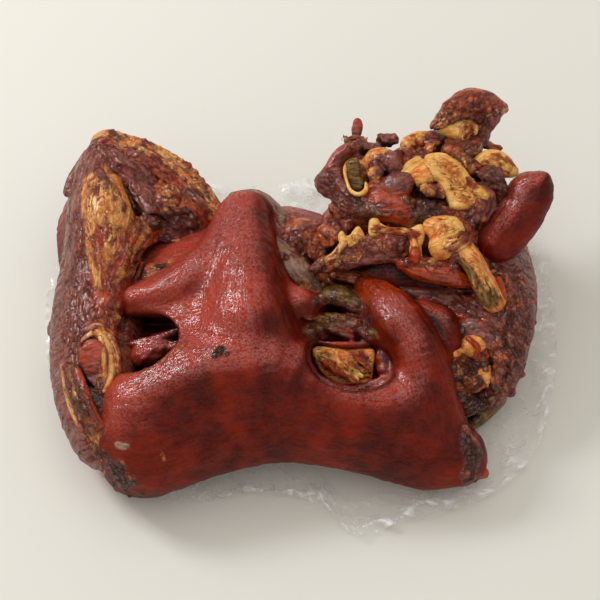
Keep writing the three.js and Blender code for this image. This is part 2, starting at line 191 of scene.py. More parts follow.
@dataclass
class Rope(Form):
    """A tapering strand along a smooth path of x, y, z and radius."""

    path: np.ndarray = field(default_factory=lambda: np.zeros((2, 4)))
    flat: float = 1.0

    def box(self) -> tuple[np.ndarray, np.ndarray]:
        """The lowest and the highest corner."""
        centre, radius = self.path[:, :3], self.path[:, 3:]
        return (centre - radius).min(0), (centre + radius).max(0)

    def _squeezed(self) -> tuple[np.ndarray, np.ndarray]:
        """Undoes the flatness, so that the strand is round.

        Returns:
            The squeeze, and the path after it.
        """
        squeeze = np.outer(SIGHT.towards, SIGHT.towards) * (1 / self.flat - 1) + np.eye(3)
        return squeeze, self.path[:, :3] @ squeeze

    def _span(self, points: np.ndarray, number: int) -> tuple[np.ndarray, np.ndarray, np.ndarray]:
        """Measures to one straight length of the path.

        Args:
            points: The points, in rows.
            number: Which length it is.

        Returns:
            The distance to the surface, the share of the length, and the offset from it, for each point.
        """
        squeeze, path = self._squeezed()
        start, end = path[number], path[number + 1]
        radius, next_radius = self.path[number, 3], self.path[number + 1, 3]
        line = end - start
        flattened = points @ squeeze - start
        share = np.clip(flattened @ line / max(float(line @ line), TINY), 0, 1)
        away = flattened - share[:, None] * line
        gap = np.linalg.norm(away, axis=1) - (radius + (next_radius - radius) * share)
        return gap * min(self.flat, 1.0), share, away

    def _nearest(self, points: np.ndarray) -> tuple[np.ndarray, np.ndarray, np.ndarray]:
        """Finds the nearest place on the path.

        Args:
            points: The points, in rows.

        Returns:
            The distance to the surface, the length along the path, and the offset from it, for each point.
        """
        best = np.full(len(points), np.inf)
        along = np.zeros(len(points))
        offset = np.zeros((len(points), 3))
        passed = 0.0
        for number, length in enumerate(np.linalg.norm(np.diff(self.path[:, :3], axis=0), axis=1)):
            gap, share, away = self._span(points, number)
            nearer = gap < best
            best[nearer] = gap[nearer]
            along[nearer] = passed + share[nearer] * length
            offset[nearer] = away[nearer]
            passed += length
        return best, along, offset

    def spans(self) -> list[Span]:
        """Divides the strand.

        Returns:
            One span for each straight length of the path.
        """
        found = []
        for number in range(len(self.path) - 1):
            ends = self.path[number : number + 2]
            low, high = (ends[:, :3] - ends[:, 3:]).min(0), (ends[:, :3] + ends[:, 3:]).max(0)
            found.append((low, high, partial(self._measure, number)))
        return found

    def _measure(self, number: int, points: np.ndarray) -> np.ndarray:
        """The distance from one straight length to each point."""
        return self._span(points, number)[0]

    def distance(self, points: np.ndarray) -> np.ndarray:
        """The distance to each point, below zero inside."""
        return self._nearest(points)[0]

    def grain(self, points: np.ndarray) -> np.ndarray:
        """Measures along the fibres.

        Args:
            points: The points, in rows.

        Returns:
            How far each point lies along the strand and round it.
        """
        _, along, offset = self._nearest(points)
        tangent = self.path[-1, :3] - self.path[0, :3]
        side = np.cross(tangent, SIGHT.towards)
        side = side / max(np.linalg.norm(side), TINY)
        angle = np.arctan2(offset @ side, offset @ SIGHT.towards)
        return np.stack([along, angle * float(self.path[:, 3].mean())], 1)


@dataclass
class Slab(Form):
    """A plate that faces the eye, with an outline and a rounded rim."""

    at: np.ndarray = field(default_factory=lambda: np.zeros(3))
    outline: np.ndarray = field(default_factory=lambda: np.zeros((3, 2)))
    half: float = 4.0
    rim: float = 3.0

    def _local(self, points: np.ndarray) -> np.ndarray:
        """The points in the plate's own plane, with how far they stand out of it."""
        return (points - self.at) @ np.array([[1.0, 0, 0], SIGHT.upward, SIGHT.towards]).T

    def box(self) -> tuple[np.ndarray, np.ndarray]:
        """Finds how far it reaches.

        Returns:
            The lowest and the highest corner.
        """
        corners = self.at + self.outline[:, :1] * (1.0, 0, 0) + self.outline[:, 1:] * SIGHT.upward
        thick = self.half * SIGHT.towards
        both = np.vstack([corners + thick, corners - thick])
        return both.min(0), both.max(0)

    def distance(self, points: np.ndarray) -> np.ndarray:
        """Measures to the surface.

        Args:
            points: The points, in rows.

        Returns:
            The distance to each point, below zero inside.
        """
        local = self._local(points)
        nearest = np.full(len(points), np.inf)
        inside = np.zeros(len(points), bool)
        for start, end in zip(self.outline, np.roll(self.outline, -1, axis=0)):
            line, away = end - start, local[:, :2] - start
            share = np.clip(away @ line / max(float(line @ line), TINY), 0, 1)
            nearest = np.minimum(nearest, np.linalg.norm(away - share[:, None] * line, axis=1))
            spans = (start[1] > local[:, 1]) != (end[1] > local[:, 1])
            slope = line[0] / (line[1] if line[1] else TINY)
            inside ^= spans & (local[:, 0] < start[0] + (local[:, 1] - start[1]) * slope)
        aside = np.where(inside, -nearest, nearest) + self.rim
        deep = np.abs(local[:, 2]) - self.half + self.rim
        outer = np.hypot(np.maximum(aside, 0), np.maximum(deep, 0))
        return np.minimum(np.maximum(aside, deep), 0) + outer - self.rim

    def grain(self, points: np.ndarray) -> np.ndarray:
        """How far each point lies along and across the plate."""
        return self._local(points)[:, :2]


def slab(
    tissue: Tissue, blend: float, height: float, half: float, rim: float, *outline: tuple[float, float]
) -> Slab:
    """Makes a plate as it shows in the view.

    Args:
        tissue: What it is made of.
        blend: The width of the fillet to the forms before it.
        height: The height of its middle.
        half: Half its thickness towards the eye.
        rim: The radius of its rim.
        outline: Across and up of the points round it.

    Returns:
        The slab.
    """
    points = np.array(outline, float)
    middle = points.mean(0)
    around = np.vstack([points[-1:], points, points[:2]])
    steps = 3
    curve = smooth_path(around - middle, steps)[steps:-steps]
    at = SIGHT.place(*middle, height)
    return Slab(tissue, blend, at=at, outline=curve[:-1], half=half, rim=min(rim, half))


def lump(tissue: Tissue, blend: float, at: Sequence[float], size: Sequence[float], turn: float = 0) -> Lump:
    """Makes an ellipsoid as it shows in the view.

    Args:
        tissue: What it is made of.
        blend: The width of the fillet to the forms before it.
        at: Across, up and height of its middle.
        size: Half sizes along the turned axis, across it, and towards the eye.
        turn: How far the first axis is turned up in the view, in degrees.

    Returns:
        The lump.
    """
    angle = math.radians(turn)
    right = np.array([1.0, 0, 0])
    along = math.cos(angle) * right + math.sin(angle) * SIGHT.upward
    aside = math.cos(angle) * SIGHT.upward - math.sin(angle) * right
    axes = np.array([along, aside, SIGHT.towards])
    return Lump(tissue, blend, at=SIGHT.place(*at), size=np.array(size, float), axes=axes)


def bulk(tissue: Tissue, blend: float, at: Sequence[float], size: Sequence[float], turn: float = 0) -> Lump:
    """Makes an ellipsoid that stands square to the table.

    Args:
        tissue: What it is made of.
        blend: The width of the fillet to the forms before it.
        at: x, y and z of its middle.
        size: Half sizes along its own x, y and z.
        turn: How far it is turned about the vertical, in degrees.

    Returns:
        The lump.
    """
    cosine, sine = math.cos(math.radians(turn)), math.sin(math.radians(turn))
    axes = np.array([[cosine, sine, 0], [-sine, cosine, 0], [0, 0, 1.0]])
    return Lump(tissue, blend, at=np.array(at, float), size=np.array(size, float), axes=axes)


def smooth_path(points: np.ndarray, steps: int = 4) -> np.ndarray:
    """Runs a smooth curve through points.

    Args:
        points: The points, with their radius as the last column.
        steps: How many straight lengths there are between two of them.

    Returns:
        The curve's points.
    """
    if len(points) == 2:
        return points
    ends = np.vstack([2 * points[0] - points[1], points, 2 * points[-1] - points[-2]])
    curve = []
    for before, here, after, beyond in zip(ends, ends[1:], ends[2:], ends[3:]):
        for share in np.arange(steps) / steps:
            linear = (after - before) * share
            square = (2 * before - 5 * here + 4 * after - beyond) * share**2
            cube = (3 * here - before - 3 * after + beyond) * share**3
            curve.append(0.5 * (2 * here + linear + square + cube))
    return np.array([*curve, points[-1]])


def rope(tissue: Tissue, blend: float, *points: Sequence[float], flat: float = 1.0) -> Rope:
    """Makes a tapering strand as it shows in the view.

    Args:
        tissue: What it is made of.
        blend: The width of the fillet to the forms before it.
        points: Across, up, height and radius of each point that it runs through.
        flat: Its depth towards the eye over its width.

    Returns:
        The rope.
    """
    placed = np.array([[*SIGHT.place(*point[:3]), point[3]] for point in points])
    return Rope(tissue, blend, path=smooth_path(placed), flat=flat)


def carve(form: Form) -> Form:
    """Marks a form as a hollow."""
    form.carved = True
    return form


Finder = Callable[[np.ndarray, np.ndarray], np.ndarray]
DAB_BLEND = 1.5
SLIT_BLEND = 1.0


@dataclass
class Laid:
    """A strand or a dab that is laid on the surface where it shows in the view."""

    tissue: Tissue
    blend: float
    course: tuple[tuple[float, ...], ...]
    lift: float = 0.0
    thick: float = 1.0
    turn: float = 0.0
    carved: bool = False

    def settle(self, surface: Finder) -> list[Form]:
        """Lays it down.

        Args:
            surface: Gives the point of the surface that shows at each place in the view.

        Returns:
            A rope if it has several points of across, up and radius, or a lump if it has one of across, up
            and two half sizes. Nothing if it misses the surface.
        """
        points = np.array(self.course, float)
        placed = surface(points[:, 0], points[:, 1]) + self.lift * SIGHT.towards
        if not np.isfinite(placed).all():
            return []
        if len(points) == 1:
            made = lump(self.tissue, self.blend, (0, 0, 0), (*points[0, 2:4], self.thick), self.turn)
            made.at = placed[0]
        else:
            made = Rope(self.tissue, self.blend, path=smooth_path(np.column_stack([placed, points[:, 2]])))
        made.carved = self.carved
        return [made]


def strand(
    tissue: Tissue, *course: tuple[float, float, float], lift: float = 0.3, blend: float = 1.2
) -> Laid:
    """Lays a strand.

    Args:
        tissue: What it is made of.
        course: Across, up and radius of the points that it runs through.
        lift: How far its middle is above the surface.
        blend: The width of the fillet to what it lies on.

    Returns:
        The strand.
    """
    return Laid(tissue, blend, course, lift)


def dab(
    tissue: Tissue, across: float, up: float, wide: float, high: float, thick: float, turn: float = 0
) -> Laid:
    """Lays a low bump.

    Args:
        tissue: What it is made of.
        across: How far right of the middle of the view it shows.
        up: How far above it it shows.
        wide: Half its width.
        high: Half its height in the view.
        thick: How far it stands out.
        turn: How far it is turned, in degrees.

    Returns:
        The dab.
    """
    return Laid(tissue, DAB_BLEND, ((across, up, wide, high),), 0.0, thick, turn)


def slit(*course: tuple[float, float, float], lift: float = 0.0) -> Laid:
    """Cuts a crease, painted dark inside as painted shade.

    Args:
        course: Across, up and radius of the points that it runs through.
        lift: How far its middle is above the surface.

    Returns:
        The crease.
    """
    return Laid(CHAR, SLIT_BLEND, course, lift, carved=True)


@dataclass
class Strewn:
    """Crumbs or strands strewn along a path in the view, each one set down on the surface."""

    SIZES = (0.6, 1.3)
    LENGTHS = (0.5, 1.1)
    STATIONS = (-0.5, -0.17, 0.17, 0.5)
    TAPER = (0.35, 1.0, 0.9, 0.3)
    TURN = 0.3
    BEND = 0.14
    STEEPEST = 0.6

    tissues: tuple[Tissue, ...]
    count: int
    size: float
    length: float
    spread: float
    seed: int
    path: tuple[tuple[float, float], ...]
    lie: float | None = None

    def settle(self, surface: Finder) -> list[Form]:
        """Sets them down.

        Args:
            surface: Gives the point of the surface that shows at each place in the view.

        Returns:
            One form for each.
        """
        draw = np.random.default_rng(self.seed)
        path = np.array(self.path, float)
        place = (np.arange(self.count) + draw.random(self.count)) / self.count * (len(path) - 1)
        first = np.minimum(place.astype(int), len(path) - 2)
        middle = path[first] + (path[first + 1] - path[first]) * (place - first)[:, None]
        middle = middle + draw.normal(0, self.spread, (self.count, 2))
        angle = draw.uniform(0, math.pi, self.count)
        if self.lie is not None:
            angle = math.radians(self.lie) + draw.normal(0, self.TURN, self.count)
        size = self.size * draw.uniform(*self.SIZES, self.count)
        if not self.length:
            return self._crumbs(draw, surface(*middle.T), size)
        length = self.length * draw.uniform(*self.LENGTHS, self.count)
        bend = draw.normal(0, self.BEND, self.count) * length
        course = np.stack([np.cos(angle), np.sin(angle)], 1)
        aside = np.stack([-np.sin(angle), np.cos(angle)], 1)
        placed = []
        for step in self.STATIONS:
            bow = bend * (0.25 - step**2) * 4
            placed.append(surface(*(middle + course * (step * length)[:, None] + aside * bow[:, None]).T))
        return self._strands(draw, np.stack(placed, 1), size)

    def _crumbs(self, draw: np.random.Generator, placed: np.ndarray, size: np.ndarray) -> list[Form]:
        """Makes the crumbs.

        Args:
            draw: Where the random choices come from.
            placed: Their middles, which aren't numbers where there is no surface.
            size: Their sizes.

        Returns:
            One lump for each.
        """
        forms: list[Form] = []
        for at, own in zip(placed, size):
            axes = np.linalg.qr(draw.normal(size=(3, 3)))[0]
            tissue = self.tissues[int(draw.integers(len(self.tissues)))]
            if np.isfinite(at).all():
                halves = own * draw.uniform(*self.SIZES, 3)
                forms.append(Lump(tissue, own * 0.5, at=at, size=halves, axes=axes))
        return forms

    def _strands(self, draw: np.random.Generator, placed: np.ndarray, size: np.ndarray) -> list[Form]:
        """Makes the strands.

        Args:
            draw: Where the random choices come from.
            placed: The points along each, which aren't numbers where there is no surface.
            size: Their radii.

        Returns:
            One rope for each that lies wholly on the surface.
        """
        forms: list[Form] = []
        taper = np.array(self.TAPER)
        for points, own in zip(placed, size):
            tissue = self.tissues[int(draw.integers(len(self.tissues)))]
            steps = np.abs(np.diff(points[:, 2]))
            if np.isfinite(points).all() and steps.max() < self.length * self.STEEPEST:
                path = np.column_stack([points, own * taper])
                forms.append(Rope(tissue, own * 0.7, path=smooth_path(path, 3)))
        return forms


Shape = Form | Laid | Strewn


# Sculpting

CORNERS = tuple(np.array([corner & 1, corner >> 1 & 1, corner >> 2 & 1]) for corner in range(8))
PRIMES = (73856093, 19349663, 83492791, 2654435761)
STIR = 1274126177
LOW_BITS = 0xFFFF


def numbered(place: np.ndarray, seed: int) -> np.ndarray:
    """Gives each place of a lattice a whole number.

    Args:
        place: The places, in rows.
        seed: Which numbering it is.

    Returns:
        The numbers.
    """
    across, along, above = place.T
    return across * PRIMES[0] ^ along * PRIMES[1] ^ above * PRIMES[2] ^ seed * PRIMES[3]


def stirred(numbers: np.ndarray) -> np.ndarray:
    """Stirs the bits of whole numbers."""
    return (numbers ^ numbers >> 13) * STIR & 0xFFFFFFFF


def noise(points: np.ndarray, size: float | Sequence[float], seed: int = 0) -> np.ndarray:
    """Gives smooth noise from random values on a lattice.

    Args:
        points: The points, in rows.
        size: The lattice's pitch, or one for each axis.
        seed: Which noise it is.

    Returns:
        Values from -1 to 1, one for each point.
    """
    scaled = points / np.asarray(size, float)
    cell = np.floor(scaled).astype(np.int64)
    share = scaled - cell
    share = share * share * (3 - 2 * share)
    total = np.zeros(len(points))
    for step in CORNERS:
        mixed = stirred(numbered(cell + step, seed + 1))
        mixed = (mixed ^ mixed >> 16) & LOW_BITS
        weight = np.prod(np.where(step, share, 1 - share), axis=1)
        total += weight * (mixed * 2 / LOW_BITS - 1)
    return total


def layered(points: np.ndarray, size: float, layers: int, seed: int = 0) -> np.ndarray:
    """Adds up finer and finer noise.

    Args:
        points: The points, in rows.
        size: The coarsest lattice's pitch.
        layers: How many times it is halved.
        seed: Which noise it is.

    Returns:
        Values from about -1 to 1.
    """
    fade = 1.6
    return sum(noise(points, size / 2**layer, seed + layer) / fade**layer for layer in range(layers)) / fade


def pebbles(points: np.ndarray, size: float | Sequence[float], seed: int = 0) -> np.ndarray:
    """Gives round bumps that are packed at random.

    Args:
        points: The points, in rows.
        size: The width of a bump, or one for each axis.
        seed: Which bumps they are.

    Returns:
        Values from 0 in the clefts to 1 at the tops.
    """
    scaled = points / np.asarray(size, float)
    cell = np.floor(scaled - 0.5).astype(np.int64)
    nearest = np.full(len(points), np.inf)
    for step in CORNERS:
        place = cell + step
        mixed = numbered(place, seed + 7)
        away = np.zeros(len(points))
        for axis in range(3):
            mixed = stirred(mixed)
            centre = place[:, axis] + 0.2 + 0.6 * (mixed >> 8 & LOW_BITS) / LOW_BITS
            away += (centre - scaled[:, axis]) ** 2
        nearest = np.minimum(nearest, away)
    return np.clip(1 - nearest, 0, 1)


def smoothstep(low: float, high: float, value: np.ndarray) -> np.ndarray:
    """Rises smoothly from 0 at low to 1 at high."""
    share = np.clip((value - low) / (high - low), 0, 1)
    return share * share * (3 - 2 * share)


def smooth_least(a: np.ndarray, b: np.ndarray, blend: float) -> np.ndarray:
    """Takes the lesser of two distances, with a fillet between them.

    Args:
        a: The first distances.
        b: The second distances.
        blend: The fillet's width.

    Returns:
        The blended distances.
    """
    near = np.maximum(blend - np.abs(a - b), 0)
    return np.minimum(a, b) - near * near / (4 * blend)


def write_numbers(mesh: bpy.types.Mesh, name: str, values: np.ndarray) -> None:
    """Writes one number for each point to a mesh."""
    mesh.attributes.new(name, "FLOAT", "POINT").data.foreach_set("value", values.astype(np.float32))


@dataclass
class Skin:
    """The surface of a sculpted piece, with what each of its points is made of."""

    points: np.ndarray
    quads: np.ndarray
    normals: np.ndarray
    masks: dict[Tissue, np.ndarray]
    grain: np.ndarray
    hollow: np.ndarray

    def mask(self, *tissues: Tissue) -> np.ndarray:
        """How much of each point is made of these tissues."""
        none = np.zeros(len(self.points))
        return sum((self.masks.get(tissue, none) for tissue in tissues), none)

    def object(self, name: str, base: float) -> bpy.types.Object:
        """Makes the Blender object.

        Args:
            name: Its name.
            base: The height that nothing of it goes below.

        Returns:
            The object, with the masks, grain and hollows as attributes.
        """
        placed = self.points.copy()
        placed[:, 2] = np.maximum(placed[:, 2], base)
        mesh = bpy.data.meshes.new(name)
        mesh.vertices.add(len(placed))
        mesh.vertices.foreach_set("co", (placed * MM).astype(np.float32).ravel())
        mesh.loops.add(self.quads.size)
        mesh.loops.foreach_set("vertex_index", self.quads.astype(np.int32).ravel())
        mesh.polygons.add(len(self.quads))
        mesh.polygons.foreach_set("loop_start", np.arange(0, self.quads.size, 4, dtype=np.int32))
        mesh.polygons.foreach_set("use_smooth", np.ones(len(self.quads), bool))
        mesh.update(calc_edges=True)
        for tissue in Tissue:
            write_numbers(mesh, tissue.value, self.mask(tissue))
        write_numbers(mesh, "hollow", self.hollow)
        grain = mesh.attributes.new("grain", "FLOAT_VECTOR", "POINT")
        grain.data.foreach_set("vector", self.grain.astype(np.float32).ravel())
        made = bpy.data.objects.new(name, mesh)
        bpy.context.scene.collection.objects.link(made)
        return made


class Sculpture:
    """Forms blended into one solid on a grid."""

    FAR = 14.0
    ROOM = 9.0
    MARGIN = 2.0
    LOWEST_SHOWN = 3.0
    SEARCH_STEP = 0.5
    REACHES = (4.0, 9.0)
    GRAIN_WANDER = 2.5
    GRAIN_APART = 7.3
    MASK_REACH = 5.0
    MASK_LIMITS = (-2, 40)

    def __init__(self, forms: Sequence[Shape], pitch: float, base: float) -> None:
        """Blends the forms.

        Args:
            forms: The forms, in the order in which they are added or carved.
            pitch: The grid's pitch.
            base: The height of the flat underside.
        """
        self.forms: list[Form] = []
        self.pitch = pitch
        boxes = [form.box() for form in forms if isinstance(form, Form) and not form.carved]
        self.low = np.min([box[0] for box in boxes], 0) - self.ROOM
        high = np.max([box[1] for box in boxes], 0) + self.ROOM
        self.low[2] = max(self.low[2], base - 3 * pitch)
        self.count = np.ceil((high - self.low) / pitch).astype(int) + 1
        self.ticks = [self.low[axis] + pitch * np.arange(self.count[axis]) for axis in range(3)]
        self.field = np.full(self.count, self.FAR, np.float32)
        for form in forms:
            settled = [form] if isinstance(form, Form) else form.settle(self.surface)
            for own in settled:
                self._add(own)
                self.forms.append(own)
        self.field = np.maximum(self.field, base - self.ticks[2][None, None, :])

    def _block(self, low: np.ndarray, high: np.ndarray) -> tuple[slice, slice, slice]:
        """Finds the part of the grid that a box covers.

        Args:
            low: The box's lowest corner.
            high: The box's highest corner.

        Returns:
            The part, which is empty if the box is off the grid.
        """
        first = np.clip(np.floor((low - self.low) / self.pitch).astype(int), 0, self.count)
        last = np.clip(np.ceil((high - self.low) / self.pitch).astype(int) + 1, 0, self.count)
        return tuple(slice(start, max(start, stop)) for start, stop in zip(first, last))

    def _add(self, form: Form) -> None:
        """Blends or carves one form into the grid.

        Args:
            form: The form.
        """
        margin = form.blend + 2 * self.pitch + self.MARGIN
        low, high = form.box()
        whole = self._block(low - margin, high + margin)
        own = np.full([part.stop - part.start for part in whole], self.FAR, np.float32)
        for low, high, measure in form.spans():
            block = self._block(low - margin, high + margin)
            ticks = [self.ticks[axis][block[axis]] for axis in range(3)]
            points = np.stack(np.meshgrid(*ticks, indexing="ij"), -1)
            if not points.size:
                continue
            inner = tuple(
                slice(part.start - all_.start, part.stop - all_.start) for part, all_ in zip(block, whole)
            )
            found = measure(points.reshape(-1, 3)).reshape(points.shape[:-1])
            own[inner] = np.minimum(own[inner], found)
        if form.carved:
            self.field[whole] = -smooth_least(-self.field[whole], own, form.blend)
        else:
            self.field[whole] = smooth_least(self.field[whole], own, form.blend)

    def sample(self, points: np.ndarray) -> np.ndarray:
        """Reads the distance at any points.

        Args:
            points: The points, in rows.

        Returns:
            The distances.
        """
        scaled = np.clip((points - self.low) / self.pitch, 0, self.count - 1.001)
        cell = scaled.astype(int)
        share = scaled - cell
        total = np.zeros(len(points))
        for step in CORNERS:
            place = cell + step
            weight = np.prod(np.where(step, share, 1 - share), axis=1)
            total += weight * self.field[place[:, 0], place[:, 1], place[:, 2]]
        return total

    def surface(self, across: np.ndarray, up: np.ndarray) -> np.ndarray:
        """Finds the points of the surface that show at places in the view.

        Args:
            across: How far right of the middle of the view they show.
            up: How far above it they show.

        Returns:
            The points, which aren't numbers where nothing shows.
        """
        heights = np.arange(self.ticks[2][-1], self.LOWEST_SHOWN, -self.SEARCH_STEP)
        lines = SIGHT.place(across[:, None], up[:, None], heights[None, :])
        inside = self.sample(lines.reshape(-1, 3)).reshape(lines.shape[:2]) < 0
        found = lines[np.arange(len(across)), inside.argmax(1)]
        return np.where(inside.any(1)[:, None], found, np.nan)

    def slope(self, points: np.ndarray) -> np.ndarray:
        """Finds the direction straight out of the surface.

        Args:
            points: The points, in rows.

        Returns:
            The direction at each point, of length one.
        """
        steps = np.eye(3) * self.pitch
        rise = np.stack([self.sample(points + step) - self.sample(points - step) for step in steps], 1)
        return rise / np.maximum(np.linalg.norm(rise, axis=1), TINY)[:, None]

    def _crossings(self) -> tuple[np.ndarray, np.ndarray]:
        """Finds the surface, with one point in each cell that it crosses.

        Returns:
            The points and the four-sided faces.
        """
        strides = np.array([self.count[1] * self.count[2], self.count[2], 1])
        codes, places, faces = [], [], []
        for axis in range(3):
            here = np.take(self.field, range(self.count[axis] - 1), axis)
            there = np.take(self.field, range(1, self.count[axis]), axis)
            edge = np.argwhere((here < 0) != (there < 0))
            inside, outside = here[tuple(edge.T)], there[tuple(edge.T)]
            place = edge.astype(float)
            place[:, axis] += inside / (inside - outside)
            one, other = (axis + 1) % 3, (axis + 2) % 3
            kept = (edge[:, one] > 0) & (edge[:, other] > 0)
            around = []
            for shift_one, shift_other in ((0, 0), (1, 0), (1, 1), (0, 1)):
                cell = edge[kept].copy()
                cell[:, one] -= shift_one
                cell[:, other] -= shift_other
                around.append(cell @ strides)
                places.append(place[kept])
            codes.extend(around)
            face = np.stack(around, 1)
            turned = inside[kept] >= 0
            face[turned] = face[turned][:, ::-1]
            faces.append(face)
        cells, owner = np.unique(np.concatenate(codes), return_inverse=True)
        share = np.bincount(owner)
        stacked = np.concatenate(places)
        points = np.stack([np.bincount(owner, stacked[:, axis]) / share for axis in range(3)], 1)
        return self.low + self.pitch * points, np.searchsorted(cells, np.concatenate(faces))

    def skin(self) -> Skin:
        """Draws the skin over the solid.

        Returns:
            The skin, before its fine relief.
        """
        points, quads = self._crossings()
        points = points - self.slope(points) * self.sample(points)[:, None]
        normals = self.slope(points)
        total = np.full(len(points), 1e-6)
        masks: dict[Tissue, np.ndarray] = {}
        leading = np.zeros(len(points))
        grain = np.zeros((len(points), 3))
        for number, form in enumerate(self.forms):
            low, high = form.box()
            around = (points > low - self.MASK_REACH) & (points < high + self.MASK_REACH)
            near = np.nonzero(around.all(1))[0]
            if not len(near):
                continue
            away = form.distance(points[near])
            # A carved form paints its tissue on the walls of the hollow it cuts; with the dark tissue this is
            # painted shade.
            weight = np.exp(-np.clip(np.abs(away) if form.carved else away, *self.MASK_LIMITS))
            total[near] += weight
            masks.setdefault(form.tissue, np.zeros(len(points)))[near] += weight
            ahead = weight > leading[near]
            leading[near[ahead]] = weight[ahead]
            grain[near[ahead], :2] = form.grain(points[near[ahead]])
            grain[near[ahead], 2] = number * self.GRAIN_APART
        for axis in range(2):
            grain[:, axis] += self.GRAIN_WANDER * layered(points, 9, 2, 81 + axis)
        masks = {tissue: mask / total for tissue, mask in masks.items()}
        # How enclosed each point is, read from the distance field; the finish paints shade where it is deep.
        near, far = (np.clip(self.sample(points + reach * normals) / reach, 0, 1) for reach in self.REACHES)
        hollow = 1 - (near + far) / 2
        return Skin(points, quads, normals, masks, grain, hollow)


# Materials

Number = "Wire | float"


class Wire:
    """A value in a material, for arithmetic in plain expressions."""

    def __init__(self, paint: Paint, socket: bpy.types.NodeSocket) -> None:
        """Keeps the socket that gives the value, and the material that it is in."""
        self.paint = paint
        self.socket = socket

    def __add__(self, other: Number) -> Wire:
        """Adds."""
        return self.paint.maths("ADD", self, other)

    __radd__ = __add__

    def __sub__(self, other: Number) -> Wire:
        """Subtracts."""
        return self.paint.maths("SUBTRACT", self, other)

    def __rsub__(self, other: Number) -> Wire:
        """Subtracts from a number."""
        return self.paint.maths("SUBTRACT", other, self)

    def __mul__(self, other: Number) -> Wire:
        """Multiplies."""
        return self.paint.maths("MULTIPLY", self, other)

    __rmul__ = __mul__

    def clamped(self) -> Wire:
        """Keeps it from 0 to 1."""
        return self.paint.maths("MINIMUM", self.paint.maths("MAXIMUM", self, 0.0), 1.0)

    def between(self, low: float, high: float) -> Wire:
        """Rises smoothly from 0 to 1.

        Args:
            low: Where it leaves 0.
            high: Where it reaches 1.

        Returns:
            The share.
        """
        settings = {"interpolation_type": "SMOOTHSTEP"}
        values = {"Value": self, "From Min": low, "From Max": high}
        return self.paint.node("ShaderNodeMapRange", settings, values)["Result"]


class Paint:
    """One material while it is being made."""

    SHARE, FIRST_COLOUR, SECOND_COLOUR = 0, 6, 7

    def __init__(self, name: str) -> None:
        """Starts a material.

        Args:
            name: Its name.
        """
        self.material = bpy.data.materials.new(name)
        self.material.use_nodes = True
        self.tree = self.material.node_tree
        self.tree.nodes.clear()

    def node(
        self, kind: str, settings: dict[str, object] | None = None, values: dict[object, object] | None = None
    ) -> dict[str, Wire]:
        """Adds a node.

        Args:
            kind: Its type.
            settings: Its own properties, which are set first.
            values: A number, a colour or a wire for each input, by name or number.

        Returns:
            Its outputs by name.
        """
        made = self.tree.nodes.new(kind)
        for key, value in (settings or {}).items():
            setattr(made, key, value)
        for key, value in (values or {}).items():
            socket = made.inputs[key]
            if isinstance(value, Wire):
                self.tree.links.new(value.socket, socket)
            else:
                socket.default_value = value
        return {output.name: Wire(self, output) for output in made.outputs if output.enabled}

    def maths(self, operation: str, first: Number, second: Number) -> Wire:
        """One step of arithmetic."""
        return self.node("ShaderNodeMath", {"operation": operation}, {0: first, 1: second})["Value"]

    def mask(self, name: str) -> Wire:
        """A number that the mesh has for each point."""
        return self.node("ShaderNodeAttribute", {"attribute_name": name})["Fac"]

    def blend(self, first: object, second: object, share: Number) -> Wire:
        """Mixes two colours.

        Args:
            first: The colour where share is 0.
            second: The colour where share is 1.
            share: How much of the second there is.

        Returns:
            The mixed colour.
        """
        first, second = (value if isinstance(value, Wire) else (*value, 1.0) for value in (first, second))
        values = {self.SHARE: share, self.FIRST_COLOUR: first, self.SECOND_COLOUR: second}
        return self.node("ShaderNodeMix", {"data_type": "RGBA"}, values)["Result"]

    def bump(self, height: Wire, depth: float) -> Wire:
        """Turns a height into a normal.

        Args:
            height: From 0 to 1.
            depth: How far 0 is below 1, in millimetres.

        Returns:
            The normal.
        """
        inputs = {"Strength": 1.0, "Distance": depth * MM, "Height": height}
        return self.node("ShaderNodeBump", None, inputs)["Normal"]

    def speckle(self, size: float, detail: float = 2.0, roughness: float = 0.5) -> Wire:
        """Noise through the piece.

        Args:
            size: The size of its patches, in millimetres.
            detail: How many finer layers it has.
            roughness: How strong the finer layers are.

        Returns:
            The noise, about 0.5 in the middle.
        """
        place = self.node("ShaderNodeTexCoord")["Object"]
        values = {"Vector": place, "Scale": 1 / (size * MM), "Detail": detail, "Roughness": roughness}
        return self.node("ShaderNodeTexNoise", None, values)["Fac"]

    def fibres(self, length: float, width: float, detail: float = 2.0) -> Wire:
        """Noise drawn out along the fibres.

        Args:
            length: The length of a fibre, in millimetres.
            width: Its width, in millimetres.
            detail: How many finer layers it has.

        Returns:
            The noise, about 0.5 in the middle.
        """
        grain = self.node("ShaderNodeAttribute", {"attribute_name": "grain"})["Vector"]
        stretch = {0: grain, 1: (1 / length, 1 / width, 1.0)}
        place = self.node("ShaderNodeVectorMath", {"operation": "MULTIPLY"}, stretch)["Vector"]
        return self.node("ShaderNodeTexNoise", None, {"Vector": place, "Scale": 1.0, "Detail": detail})["Fac"]

    def finish(
        self, values: dict[str, object], wet: dict[str, object] | None = None, share: Number = 0.0
    ) -> bpy.types.Material:
        """Ends the material with a principled shader, or with a mixture of a dry and a wet one.

        Args:
            values: The shader's inputs.
            wet: The inputs that differ where it is wet.
            share: How wet it is.

        Returns:
            The material.
        """
        shader = self.node("ShaderNodeBsdfPrincipled", None, values)["BSDF"]
        if wet:
            over = self.node("ShaderNodeBsdfPrincipled", None, {**values, **wet})["BSDF"]
            shader = self.node("ShaderNodeMixShader", None, {0: share, 1: shader, 2: over})["Shader"]
        self.node("ShaderNodeOutputMaterial", None, {"Surface": shader})
        return self.material


Colour = tuple[float, float, float]


